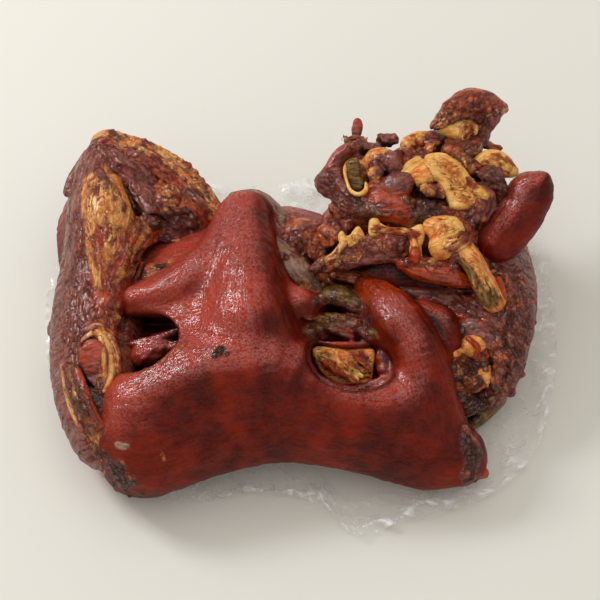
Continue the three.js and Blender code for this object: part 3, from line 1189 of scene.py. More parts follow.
def srgb(red: int, green: int, blue: int) -> Colour:
    """Turns a colour as seen on a screen into light.

    Args:
        red: From 0 to 255.
        green: From 0 to 255.
        blue: From 0 to 255.

    Returns:
        The same colour in linear values.
    """
    shares = [value / 255 for value in (red, green, blue)]
    return tuple(share / 12.92 if share <= 0.04045 else ((share + 0.055) / 1.055) ** 2.4 for share in shares)


@dataclass(frozen=True)
class Dye:
    """The dark and the light colour of one tissue."""

    tissue: Tissue
    dark: Colour
    light: Colour


class Texture:
    """The noises that a braised finish is drawn with, from coarse to fine."""

    BROAD = 26.0
    PATCH = 10.0
    FLECK = 2.6
    PORE = 1.1
    FIBRE = (7.0, 1.1)
    FOLD = (30.0, 1.4)

    def __init__(self, paint: Paint) -> None:
        """Draws them.

        Args:
            paint: The material.
        """
        self.broad = paint.speckle(self.BROAD, 2.0).between(0.38, 0.62)
        self.patch = paint.speckle(self.PATCH, 3.0).between(0.36, 0.64)
        self.fleck = paint.speckle(self.FLECK, 3.0, 0.6)
        self.pores = paint.speckle(self.PORE, 2.0, 0.6)
        self.fibre = paint.fibres(*self.FIBRE, 3.0)
        self.folds = paint.fibres(*self.FOLD).between(0.3, 0.6)
        self.grainy = (self.fibre * 0.6 + self.fleck * 0.4).between(0.38, 0.62)


class Places:
    """Where a mesh has rind, glaze and firm tissue, and where it is hollow, faces the light or turns under,
    the places of its painted shade, sheen and floor reflection.
    """

    def __init__(self, paint: Paint) -> None:
        """Reads the masks.

        Args:
            paint: The material.
        """
        self.rind = paint.mask(RIND.value).between(0.3, 0.7)
        self.smooth = (paint.mask(RIND.value) + paint.mask(GLAZE.value)).clamped()
        firm = self.smooth
        for tissue in (BONE, SINEW, PALE, GRISTLE):
            firm = firm + paint.mask(tissue.value)
        self.firm = firm.clamped()
        self.hollow = paint.mask("hollow")
        # Deep hollows, painted with shade.
        self.deep = self.hollow.between(0.45, 0.9)
        # Rind that faces the light, painted with a pale sheen.
        self.dusty = paint.mask("dusty")
        # The band where the rind turns under, painted with a grey reflection of the floor.
        self.low = paint.mask("low")


@dataclass(frozen=True)
class BraisedFinish:
    """Braised skin, meat and bone, sticky with glaze."""

    name: str = "braised flesh"
    gloss: float = 0.8
    # The rind's own dark red, also used as painted shade in its hollows.
    rind_dark_and_shade: Colour = srgb(64, 8, 2)
    rind_red: Colour = srgb(156, 38, 4)
    # Pinkish sheen with pale pore glints, painted on rind that faces the light.
    rind_lit_sheen: Colour = srgb(190, 76, 60)
    # Grey-purple reflection of the pale floor, painted in the wrinkles of the rind's underside.
    rind_floor_sheen: Colour = srgb(74, 44, 42)
    # Dark juice in random cracks and on wet places, and painted shade in deep hollows.
    juice_and_shade: Colour = srgb(24, 7, 4)
    relief: float = 0.8
    wet_relief: float = 1.3
    dyes: tuple[Dye, ...] = (
        Dye(MEAT, srgb(98, 30, 12), srgb(214, 108, 58)),
        Dye(BONE, srgb(212, 136, 46), srgb(252, 206, 124)),
        Dye(SINEW, srgb(196, 80, 16), srgb(252, 190, 104)),
        Dye(PLUM, srgb(84, 26, 18), srgb(158, 82, 66)),
        Dye(PALE, srgb(112, 70, 50), srgb(172, 130, 104)),
        Dye(GRISTLE, srgb(66, 38, 12), srgb(152, 112, 52)),
        # Dark colour of charred meat, also used as painted shade in hollows and creases.
        Dye(CHAR, srgb(22, 10, 6), srgb(98, 46, 26)),
        Dye(GLAZE, srgb(104, 18, 4), srgb(190, 68, 14)),
    )

    def _tissues(self, paint: Paint, texture: Texture) -> Wire:
        """Mixes the tissues' colours.

        Args:
            paint: The material.
            texture: Its noises.

        Returns:
            The colour.
        """
        colour: object = self.dyes[0].dark
        for dye in self.dyes:
            own = paint.blend(dye.dark, dye.light, (texture.grainy * 0.65 + texture.patch * 0.35).clamped())
            share = (paint.mask(dye.tissue.value) + (texture.grainy - 0.5) * 0.45).between(0.25, 0.6)
            colour = paint.blend(colour, own, share)
        return colour

    def _rind(self, paint: Paint, texture: Texture, places: Places) -> Wire:
        """Mixes the rind's colour: red, lighter with a painted pinkish sheen and pore glints where it faces
        the light, with painted shade in its hollows and a painted floor reflection in the folds underneath.

        Args:
            paint: The material.
            texture: Its noises.
            places: Its masks.

        Returns:
            The colour.
        """
        # Its own patchy red, made redder and lighter where it faces the light, as painted light.
        red = (texture.broad * 0.45 + texture.patch * 0.35 + 0.1) * (0.6 + 0.4 * places.dusty)
        # Painted sheen with pale pore glints on the side that faces the light.
        dusty = places.dusty * (0.2 + 0.65 * texture.pores.between(0.35, 0.65))
        colour = paint.blend(self.rind_dark_and_shade, self.rind_red, red)
        colour = paint.blend(colour, self.rind_lit_sheen, dusty)
        # Painted shade in the hollows.
        colour = paint.blend(colour, self.rind_dark_and_shade, places.hollow.between(0.2, 0.5) * 0.7)
        # Painted reflection of the floor in the folds of the underside.
        return paint.blend(colour, self.rind_floor_sheen, places.low * texture.folds)

    def _height(self, texture: Texture, places: Places) -> Wire:
        """Mixes the fine relief: leathery on rind and glaze, stringy and rough elsewhere.

        Args:
            texture: The noises.
            places: The masks.

        Returns:
            The height, from 0 to about 1.
        """
        leather = texture.pores * (0.06 + 0.2 * places.dusty) + texture.fibre * (0.05 + 0.2 * places.dusty)
        torn = texture.fibre * 0.5 + texture.fleck * 0.4 + texture.pores * 0.2
        return places.smooth * leather + (1.0 - places.smooth) * torn

    def _wetness(self, texture: Texture, places: Places) -> Wire:
        """Works out where juice stands on the surface.

        Args:
            texture: The noises.
            places: The masks.

        Returns:
            How wet it is, from 0 to 1.
        """
        beads = (texture.pores * 0.5 + texture.fibre * 0.5).between(0.4, 0.56)
        dry_rind = places.rind * (1.0 - places.dusty) * 0.82
        return beads * (1.0 - dry_rind) * (1.0 - places.low * 0.7) * (1.0 - places.deep * 0.8) * self.gloss

    def material(self) -> bpy.types.Material:
        """Makes the material.

        Returns:
            The material, which reads the masks that the meshes carry.
        """
        paint = Paint(self.name)
        texture, places = Texture(paint), Places(paint)
        colour = paint.blend(self._tissues(paint, texture), self._rind(paint, texture, places), places.rind)
        # Dark juice in random cracks of the soft tissue, and painted shade in the deep hollows.
        cleft = (1.0 - texture.fleck.between(0.34, 0.46)) * (1.0 - places.firm)
        colour = paint.blend(colour, self.juice_and_shade, (cleft * 0.5 + places.deep * 0.9).clamped())
        height = self._height(texture, places)
        dry = {
            "Base Color": colour,
            "Roughness": 0.46 + texture.pores * 0.1,
            "Specular IOR Level": 0.1,
            "Normal": paint.bump(height, self.relief),
            "Subsurface Weight": 0.05,
            "Subsurface Radius": (1.0, 0.25, 0.1),
            "Subsurface Scale": 1.6 * MM,
        }
        wet = {
            "Base Color": paint.blend(colour, self.juice_and_shade, 0.35),
            "Roughness": 0.13,
            "Specular IOR Level": 1.0,
            "Normal": paint.bump(height, self.wet_relief),
        }
        return paint.finish(dry, wet, self._wetness(texture, places))


@dataclass(frozen=True)
class FilmFinish:
    """Clear food film that whitens in its creases, the white haze also standing in for painted highlights of
    the crinkles.
    """

    white: Colour = (0.9, 0.9, 0.88)

    def material(self) -> bpy.types.Material:
        """Makes the material.

        Returns:
            The material, which reads the mask of the white creases of the film's mesh.
        """
        paint = Paint("clear film")
        crease = paint.mask("crease")
        return paint.finish(
            {
                "Base Color": (*self.white, 1.0),
                "Roughness": 0.12,
                # Opaque white along the creases: haze, and painted highlights of the crinkles.
                "Alpha": (crease * 0.9 + 0.07).clamped(),
                "Coat Weight": 1.0,
                "Coat Roughness": 0.05,
            }
        )


# The parts of the trotter


@dataclass
class Piece:
    """A sculpted piece of flesh or bone."""

    name: str
    node: str
    slot: str
    pitch: float
    base: float

    FOOT = 4.0
    UNDER_HEIGHT = (27.0, 13.0)
    UNDER_ACROSS = (45.0, 25.0)
    LIT_HEIGHT = (14.0, 38.0)
    LIT_SHARE = (0.5, 0.93)
    LIT_FROM = (-0.38, 0.34, 0.86)

    def forms(self) -> list[Shape]:
        """The forms that it is sculpted from."""
        raise NotImplementedError

    def relief(self, skin: Skin) -> np.ndarray:
        """Works out the fine relief.

        Args:
            skin: The skin that it stands on.

        Returns:
            How far each point moves out.
        """
        points, grain = skin.points, skin.grain
        strands = noise(grain, (9, 1.5, 1), 3) * 0.6 + noise(grain, (5, 0.9, 1), 4) * 0.4
        broad = layered(points, 10, 2, 11)
        crags = pebbles(points, 5.0, 12) * 1.1 + pebbles(points, 2.6, 13) * 0.6 - 0.9
        leather = layered(points, 26, 2, 31) * 0.9 + layered(points, 5, 2, 32) * 0.4
        leather = leather + noise(grain, (9, 1.9, 1.9), 33) * 0.3
        knobbly = skin.mask(CHAR, MEAT) + 0.6 * skin.mask(PLUM, GRISTLE)
        stringy = skin.mask(MEAT, SINEW, PLUM, PALE)
        skinned = skin.mask(RIND, GLAZE)
        return knobbly * (crags + broad * 0.7) + stringy * strands * 0.45 + skinned * leather

    def build(self, material: bpy.types.Material) -> bpy.types.Object:
        """Sculpts the piece, dresses it and sets it in the frame.

        Args:
            material: Its finish.

        Returns:
            The object.
        """
        skin = Sculpture(self.forms(), self.pitch, self.base).skin()
        rooted = smoothstep(0, self.FOOT, skin.points[:, 2] - self.base)[:, None]
        skin.points = skin.points + skin.normals * self.relief(skin)[:, None] * rooted
        made = skin.object(self.name, self.base)
        self._mark(made.data, skin)
        made.data.materials.append(material)
        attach(made, "root")
        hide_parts(self.node)
        return made

    def _mark(self, mesh: bpy.types.Mesh, skin: Skin) -> None:
        """Marks where rind faces the light, for its painted sheen, and where it turns under, for its painted
        floor reflection.

        Args:
            mesh: The mesh.
            skin: Its skin.
        """
        across, _, height = skin.points.T
        under = smoothstep(*self.UNDER_HEIGHT, height) * smoothstep(*self.UNDER_ACROSS, across)
        lit = smoothstep(*self.LIT_SHARE, skin.normals @ np.array(self.LIT_FROM))
        # Masks for the painted floor reflection underneath and the painted sheen on the lit side.
        write_numbers(mesh, "low", under)
        write_numbers(mesh, "dusty", lit * smoothstep(*self.LIT_HEIGHT, height))


@dataclass
class Saddle(Piece):
    """The rind laid open over the knuckle, and the meat in its openings."""

    lobe_radius: float = 15.5
    lip_radius: float = 2.2

    def forms(self) -> list[Shape]:
        """The forms, from the bulk to the fine things."""
        shaped = [*self._bulk(), *self._sheet(), *self._openings()]
        return [*shaped, *self._inside(), *self._marks(), *self._toe_end()]

    def _bulk(self) -> list[Shape]:
        """The knuckle under the rind.

        Returns:
            Its forms.
        """
        return [
            bulk(RIND, 10, (-40, -10, 29), (54, 58, 33)),
            bulk(RIND, 10, (24, -24, 25), (58, 44, 28)),
            bulk(RIND, 10, (-12, 28, 24), (46, 34, 25)),
        ]

    def _sheet(self) -> list[Shape]:
        """The folds of the rind that lie over it.

        Returns:
            Its forms.
        """
        return [
            rope(RIND, 10, (-74, -70, 26, 26), (-48, -62, 28, 25), (-18, -56, 30, 24), (14, -57, 29, 24),
                 (42, -64, 25, 23), (62, -72, 20, 19.5)),
            rope(RIND, 12, (-80, -52, 42, 16), (-50, -38, 50, 17), (-15, -34, 52, 18), (18, -52, 42, 14),
                 (50, -54, 38, 14)),
            rope(RIND, 6, (52, -68, 23, 20), (66, -75, 18, 17.5), (79, -78.5, 16.5, 14)),
            rope(RIND, 8, (-80, -66, 28, 22), (-80, -80, 16, 16)),
            rope(RIND, 8, (-28, 42, 52, 12), (-28, 28, 55, self.lobe_radius - 1.5), (-27, 10, 57, 18),
                 (-25, -12, 55, 22)),
            rope(RIND, 5, (-20, 44, 47, 8.5), (-13, 39, 46, 7), (-8, 30, 46, 5)),
            # Pale rim along the top edge of the lobe: the fat edge, lightened also as a painted grazing
            # sheen.
            rope(PALE, 1.5, (-33, 51, 54, 3), (-22, 51, 52, 4), (-13, 44, 50, 4), (-9, 36, 49, 3)),
            rope(RIND, 6, (-82, 0, 52, 7), (-68, 3, 54, 9), (-54, 10, 56, 11), (-42, 22, 56, 10),
                 (-36, 38, 52, 7)),
            lump(RIND, 5, (-18, 1, 57), (9, 8, 8)),
            rope(GLAZE, 5, (33, 7, 50, 5), (42, 0, 54, 8.5), (50, -12, 54, 11)),
            rope(RIND, 6, (46, -8, 54, 11), (56, -20, 54, 11), (61, -34, 48, 13), (64, -50, 40, 14),
                 (68, -64, 28, 15)),
            rope(RIND, 2.5, (50, -2, 56, 4), (58, -10, 56, 5), (63, -20, 54, 5), (66, -32, 50, 5),
                 (71, -44, 42, 4)),
            rope(PLUM, 4, (54, 5, 46, 6), (70, 2, 45, 7), (85, -2, 43, 6)),
            rope(RIND, 3, (62, -7, 47, 7), (72, -12, 46, 7), (75, -22, 43, 5.5)),
            rope(RIND, 3, (64, -18, 44, 7), (70, -30, 43, 6)),
            rope(MEAT, 2, (18, 12, 46, 3), (32, 10, 47, 4), (46, 9, 47, 3)),
        ]

    def _openings(self) -> list[Shape]:
        """The window over the joint and the cave beside the shank, with their rolled lips.

        Returns:
            Its forms.
        """
        return [
            # The carved hollows take the dark tissue on their walls: painted shade in the window, the cave
            # and the narrow gap.
            carve(lump(CHAR, 3, (24, -32, 52), (22, 13, 24), -6)),
            carve(lump(CHAR, 3, (20, -7, 58), (13, 17, 17))),
            carve(lump(CHAR, 3, (-76, -24, 46), (18, 12, 26), 27)),
            carve(lump(CHAR, 3, (-76, -12.5, 44), (16, 5.5, 22))),
            carve(lump(CHAR, 2, (60, 8, 56), (14, 2.5, 8), -4)),
            lump(RIND, 3, (0, -3, 57), (9, 8.5, 8)),
            lump(RIND, 4, (-9, 2, 57), (8, 7, 8)),
            rope(RIND, 2.5, (-95, -48, 38, 2), (-86, -46, 41, 2.2), (-76, -40, 45, 2.2), (-67, -33, 49, 2.2),
                 (-60, -29, 52, self.lip_radius), (-56, -20, 54, 2), (-58, -14, 54, 2)),
            rope(RIND, 2.5, (4, -20, 50, 2.2), (4, -31, 47, 2.2), (10, -39, 43, self.lip_radius),
                 (21, -44, 41, self.lip_radius), (33, -43, 41, self.lip_radius),
                 (43, -39, 43, self.lip_radius), (49, -32, 46, 2)),
            rope(RIND, 3, (-82, -4, 52, 3), (-70, -5, 54, 3.5), (-58, -5, 55, 3)),
        ]

    def _inside(self) -> list[Shape]:
        """The meat, gristle and tendon that show in the openings.

        Returns:
            Its forms.
        """
        return [
            slab(GRISTLE, 2, 46, 4.5, 3, (3, -12), (14, -7), (30, -10), (40, -17), (37, -22), (20, -21),
                 (5, -21)),
            rope(CHAR, 1, (8, -21, 49, 1.2), (20, -22.5, 50, 1.6), (34, -22.5, 49, 1.4)),
            rope(MEAT, 1, (7, -12, 49, 1.8), (16, -15, 50, 2.2), (26, -19, 50, 1.8)),
            rope(CHAR, 1, (18, -9, 49, 2), (27, -13, 50, 2.5), (37, -18, 50, 2)),
            lump(GRISTLE, 2, (19, 1, 47), (8, 6, 6), -20),
            lump(GRISTLE, 2, (27, -4, 46), (8, 5.5, 6), -35),
            rope(GRISTLE, 1, (31, -6, 45, 2.4), (38, -10, 46, 2.4), (44, -16, 46, 1.6)),
            lump(MEAT, 2, (9, -13, 46), (5.5, 5, 5)),
            lump(PALE, 1, (9, -10, 51), (1.6, 1.4, 1.4)),
            rope(PALE, 2, (-9, 25, 50, 4), (-5, 18, 51, 5.5), (2, 11, 49, 5.5), (6, 7, 47, 3.5), flat=0.8),
            rope(MEAT, 1.5, (-6, 27, 50, 2), (2, 18, 51, 2), (8, 11, 49, 1.6)),
            lump(MEAT, 3, (-73, -27, 41), (13, 8, 10), 20),
            rope(PLUM, 1.5, (-84, -22, 45, 2), (-74, -20, 48, 2.4), (-62, -16, 51, 2.2)),
            lump(SINEW, 1.5, (-62, -23.5, 48), (5, 3, 4), 20),
            lump(SINEW, 1.5, (-87, -38, 42), (4, 3, 4), 0),
            # Dark lump in the pocket right of the window bone: painted shade.
            lump(CHAR, 2, (42, -30, 42), (5, 7, 6), 20),
            lump(MEAT, 1.5, (42, -35, 43), (3.5, 3, 4), 20),
            lump(MEAT, 3, (-8, 36, 42), (8, 7, 10)),
            lump(MEAT, 3, (2, 31, 44), (9, 9, 11)),
            lump(MEAT, 3, (10, 24, 46), (8, 9, 9)),
            Strewn((CHAR, MEAT, GRISTLE), 34, 0.8, 9, 3.2, 6, ((5, -14), (20, -15), (36, -17)), lie=-25),
            Strewn((CHAR, GRISTLE), 20, 0.9, 0, 3.5, 7, ((14, 2), (30, -7))),
            Strewn((SINEW, PALE), 14, 0.6, 0, 1.4, 5, ((0, 9), (10, 6))),
            Strewn((SINEW, MEAT), 30, 0.7, 7, 4.0, 4, ((-84, -33), (-72, -26), (-62, -21)), lie=25),
            Strewn((MEAT, PLUM, MEAT), 60, 1.3, 0, 5.5, 8, ((-6, 34), (3, 29), (10, 22))),
        ]

    def _marks(self) -> list[Shape]:
        """The small marks on the rind: a pit, pale scratches and a pale fleck.

        Returns:
            Its forms.
        """
        return [
            carve(lump(RIND, 1.5, (-40, -26, 57), (2.6, 2.0, 3))),
            Strewn((CHAR,), 5, 1.0, 0, 1.0, 61, ((-42, -26), (-38, -26))),
            strand(PALE, (-91, -72.5, 0.5), (-88, -73.5, 0.7), (-86.5, -73, 0.4), lift=0.1),
            strand(SINEW, (-69, -77, 0.5), (-68, -79.5, 0.5), lift=0.1),
            Strewn((CHAR, MEAT), 40, 1.2, 0, 2.5, 67, ((-94, -80), (-90, -88), (-83, -94))),
        ]

    def _toe_end(self) -> list[Shape]:
        """The torn end of the side toe.

        Returns:
            Its forms.
        """
        return [
            lump(CHAR, 3, (84, -78, 16), (4.5, 12, 11), -8),
            lump(GLAZE, 3, (66, -83, 17), (13, 7, 6), -8),
            rope(GLAZE, 1, (84, -84, 14, 3.4), (88, -86, 13, 3.4), (92, -86.5, 12, 2.6)),
            lump(PLUM, 2, (86, -73, 19), (4.5, 6, 7)),
            Strewn((CHAR, PLUM, MEAT), 44, 1.3, 0, 2.0, 9, ((83, -67), (88, -74), (86, -82), (83, -91))),
            Strewn((CHAR, SINEW), 14, 0.7, 4, 1.8, 10, ((84, -70), (88, -78), (84, -90))),
        ]


@dataclass
class Shank(Piece):
    """The sawn shank: muscle under shining sinew, and a ragged rim of fat."""

    fan_strands: int = 9
    inner_strands: int = 8
    strip_strands: int = 8

    def forms(self) -> list[Shape]:
        """The forms, from the bulk to the fine things."""
        return [*self._bulk(), *self._face(), *self._fan(), *self._rim(), *self._lower()]

    def _bulk(self) -> list[Shape]:
        """The muscle of the shank.

        Returns:
            Its forms.
        """
        return [
            bulk(PLUM, 8, (-97, -18, 26), (23, 62, 28), 4),
            bulk(RIND, 8, (-82, 46, 27), (38, 38, 29)),
            rope(PLUM, 6, (-97, 70, 50, 11), (-101, 52, 51, 12), (-102, 30, 49, 13), (-102, 8, 45, 13),
                 (-104, -12, 40, 14), (-105, -34, 32, 13)),
            rope(PALE, 5, (-103, 62, 46, 10), (-107, 30, 40, 9), (-109, 0, 34, 10)),
            rope(SINEW, 3, (-98, 61, 55, 8), (-98, 52, 56, 11), (-96, 40, 57, 12.5), (-97, 28, 54, 11.5),
                 (-98, 15, 52, 9), (-98, 2, 48, 6)),
            # Pale core of the sinew fan, lightened also as a painted highlight.
            rope(BONE, 3, (-98, 57, 60, 6), (-98, 46, 62.5, 8.5), (-97, 34, 60.5, 6.5)),
            rope(GLAZE, 3, (-93, 30, 54, 9), (-94, 18, 53, 10.5), (-95, 4, 50, 10), (-97, -8, 46, 9)),
            rope(MEAT, 3, (-98, -8, 46, 8), (-99, -22, 42, 8), (-100, -38, 37, 7)),
            rope(SINEW, 2, (-74, 40, 53, 4), (-81, 33, 54, 5), (-87, 20, 54, 5), (-91, 6, 51, 4)),
            rope(GLAZE, 2, (-73, 34, 52, 3), (-79, 27, 53, 4), (-84, 14, 52, 4), (-88, 2, 50, 3)),
            rope(PLUM, 4, (-109, 0, 34, 10), (-111, -22, 29, 10.5), (-107, -44, 23, 10)),
            rope(MEAT, 5, (-103, -44, 26, 11), (-98, -64, 18, 11), (-90, -80, 12, 9)),
            rope(MEAT, 3, (-110, -50, 14, 7), (-102, -70, 8, 6), (-88, -90, 7, 6)),
        ]

    def _face(self) -> list[Shape]:
        """The sawn face between the column and the rim.

        Returns:
            Its forms.
        """
        return [
            lump(PLUM, 5, (-82, 60, 47), (18, 15, 10), -32),
            lump(MEAT, 5, (-64, 42, 46), (20, 14, 10), -25),
            strand(PLUM, (-94, 72, 3.5), (-84, 60, 5), (-77, 48, 5), (-74, 38, 3), blend=3),
            strand(PLUM, (-88, 68, 2.5), (-80, 64, 3), (-74, 60, 2.5), blend=2),
            dab(MEAT, -79, 67, 5, 3, 2, -15),
            dab(GLAZE, -64, 62, 8, 3.5, 2.5, -32),
            slit((-74, 62, 1.2), (-64, 58, 2), (-55, 54, 1.4)),
            dab(MEAT, -66, 51, 6, 6.5, 3.5, -35),
            strand(MEAT, (-58, 57, 2.4), (-52, 49, 3), (-47, 42, 2.4)),
            slit((-76, 42, 1.5), (-66, 40, 2.4), (-56, 42, 1.6)),
            dab(CHAR, -48, 31, 5, 5, 2),
            dab(CHAR, -60, 39, 8, 2, 1.5, -10),
            dab(SINEW, -62, 28.5, 8, 3, 2, -8),
            rope(MEAT, 3, (-84, 12, 48, 5), (-70, 12, 50, 6), (-56, 18, 51, 5)),
            # The crevice under the ridge and the dark band in it: painted shade.
            slit((-84, 20, 2), (-74, 24.5, 4), (-62, 23.5, 4.6), (-50, 25, 3.4)),
            dab(CHAR, -66, 21.5, 14, 4, 1.2, 2),
            rope(PLUM, 1, (-105, 72, 50, 3.6), (-111, 63, 48, 3.6), (-115.5, 54, 46, 2.8), flat=0.8),
            lump(PLUM, 2, (-122, -15, 24), (4, 5, 5)),
            Strewn((PLUM, MEAT, PLUM), 46, 0.9, 9, 4.5, 12, ((-98, 72), (-84, 62), (-78, 46)), lie=-58),
            Strewn((MEAT, SINEW, GLAZE), 26, 1.2, 0, 4.0, 13, ((-66, 54), (-64, 46))),
            Strewn((CHAR, MEAT, PLUM), 60, 1.0, 6, 5.0, 14, ((-72, 40), (-58, 36), (-48, 30)), lie=-20),
            Strewn((CHAR, MEAT), 44, 0.9, 7, 4.5, 15, ((-84, 16), (-70, 14), (-56, 17)), lie=12),
            Strewn((SINEW, MEAT), 24, 0.9, 0, 2.5, 16, ((-104, 79), (-98, 80), (-92, 82))),
        ]

    def _fan(self) -> list[Shape]:
        """Fans the bright sinew out, narrowing down the column.

        Returns:
            Its strands, laid side by side.
        """
        forms: list[Shape] = []
        draw = np.random.default_rng(21)
        for number in range(self.fan_strands):
            share = number / (self.fan_strands - 1)
            top = (-107 + 16 * share, 56 + 6 * math.sin(math.pi * share) - 8 * share, 0.7)
            middle = (-106 + 17 * share, 33 + 2 * share, draw.uniform(0.7, 1.1))
            foot = (-101 + 9 * share, 8 - 6 * share, 0.6)
            tissue = (SINEW, BONE, SINEW, GLAZE)[number % 4]
            forms.append(strand(tissue, top, middle, foot, lift=-0.1, blend=1.8))
        for number in range(self.inner_strands):
            share = number / (self.inner_strands - 1)
            top = (-88 + 16 * share, 48 - 18 * share, 0.9)
            middle = (-91 + 10 * share, 27 - 6 * share, draw.uniform(0.9, 1.4))
            foot = (-97 + 8 * share, -2 - 2 * share, 0.8)
            tissue = (GLAZE, SINEW, GLAZE, MEAT)[number % 4]
            forms.append(strand(tissue, top, middle, foot, lift=0.0, blend=1.8))
        return [
            *forms,
            Strewn((SINEW, GLAZE), 24, 0.3, 10, 5.0, 122, ((-100, 60), (-98, 40), (-97, 20)), lie=-84),
            Strewn((MEAT, GLAZE, SINEW), 40, 0.5, 9, 3.5, 123, ((-98, -4), (-98, -20), (-100, -36)), lie=-80),
            slit((-98, 35.5, 0.5), (-93, 34.5, 0.9), (-89, 35.5, 0.5)),
            slit((-76, 26, 0.8), (-81, 12, 1.6), (-86, -4, 2.2), (-89, -14, 2.2)),
            Strewn((SINEW, GLAZE), 40, 0.35, 8, 4.5, 22, ((-102, 40), (-99, 22), (-97, 8)), lie=-80),
            Strewn((GLAZE, SINEW, MEAT), 44, 0.4, 9, 4.0, 23, ((-80, 38), (-86, 24), (-92, 6)), lie=58),
        ]

    def _rim(self) -> list[Shape]:
        """Lays the ragged rim of fat round the sawn face.

        Returns:
            Its forms, from the outside in.
        """
        outer = ((-92, 82, 49), (-78, 78, 49), (-68, 73, 48), (-57, 66, 47), (-48, 56, 46), (-41, 47, 45))
        line = tuple(point[:2] for point in outer)
        return [
            lump(SINEW, 2, (-97, 79, 51), (8, 6, 6), 12),
            dab(GLAZE, -98, 78, 4.5, 3.5, 1, 12),
            rope(MEAT, 3, *((*point, 2.2) for point in outer)),
            rope(PLUM, 3, *((across - 4, up - 5, height + 1, 5) for across, up, height in outer)),
            *(strand(tissue, *((across - shift * 0.6, up - shift, 1.5) for across, up in line[1:]))
              for tissue, shift in ((SINEW, 3), (MEAT, 6), (GLAZE, 9))),
            dab(SINEW, -42.5, 44, 4, 5, 2),
            Strewn((SINEW, SINEW, GLAZE), 150, 1.1, 0, 2.0, 25, line),
            Strewn((SINEW, MEAT), 60, 0.45, 5, 2.4, 26, line, lie=40),
            Strewn((CHAR, PLUM), 16, 1.0, 0, 1.6, 27, ((-94, 84), (-86, 84))),
            Strewn((MEAT, GLAZE, CHAR), 60, 0.8, 7, 2.4, 28, ((-80, 70), (-60, 58), (-46, 44)), lie=-48),
        ]

    def _lower(self) -> list[Shape]:
        """Wraps the lower left end in strands and strips.

        Returns:
            Its forms.
        """
        forms: list[Shape] = [
            dab(GLAZE, -103, -30, 6.5, 10, 3, 12),
            dab(CHAR, -102, -53, 5.5, 8, 1.5, 24),
            strand(SINEW, (-110, -22, 1), (-105, -17.5, 1.4), (-100, -17, 1.6), (-96, -24, 1.8),
                   (-94, -36, 1.5), (-98, -46, 0.9)),
            strand(MEAT, (-107, -15, 1), (-99, -13, 1.4), (-93, -22, 1.8), (-91, -36, 1.4)),
            strand(SINEW, (-100, -19, 1), (-98, -28, 1.1), (-98, -38, 1)),
            slit((-112, -24, 1), (-110, -38, 1.4), (-101, -46, 1)),
        ]
        for number in range(self.strip_strands):
            share = number / (self.strip_strands - 1)
            tissue = (SINEW, MEAT, CHAR, GLAZE)[number % 4]
            start = (-118 + 7 * share, -33 - 2 * share, 1.5)
            middle = (-113 + 9 * share, -56 + 3 * share, 1.8)
            end = (-98 + 6 * share, -80 + 7 * share, 1.3)
            forms.append(strand(tissue, start, middle, end))
        return [
            *forms,
            Strewn((SINEW, MEAT, CHAR), 44, 0.8, 8, 2.5, 31, ((-114, -44), (-107, -60), (-97, -76)), lie=-52),
            Strewn((MEAT, CHAR), 50, 1.1, 0, 2.5, 32, ((-92, -82), (-88, -90))),
            Strewn((PLUM, MEAT), 50, 0.5, 9, 3.5, 33, ((-112, 40), (-112, 6), (-116, -24)), lie=84),
        ]


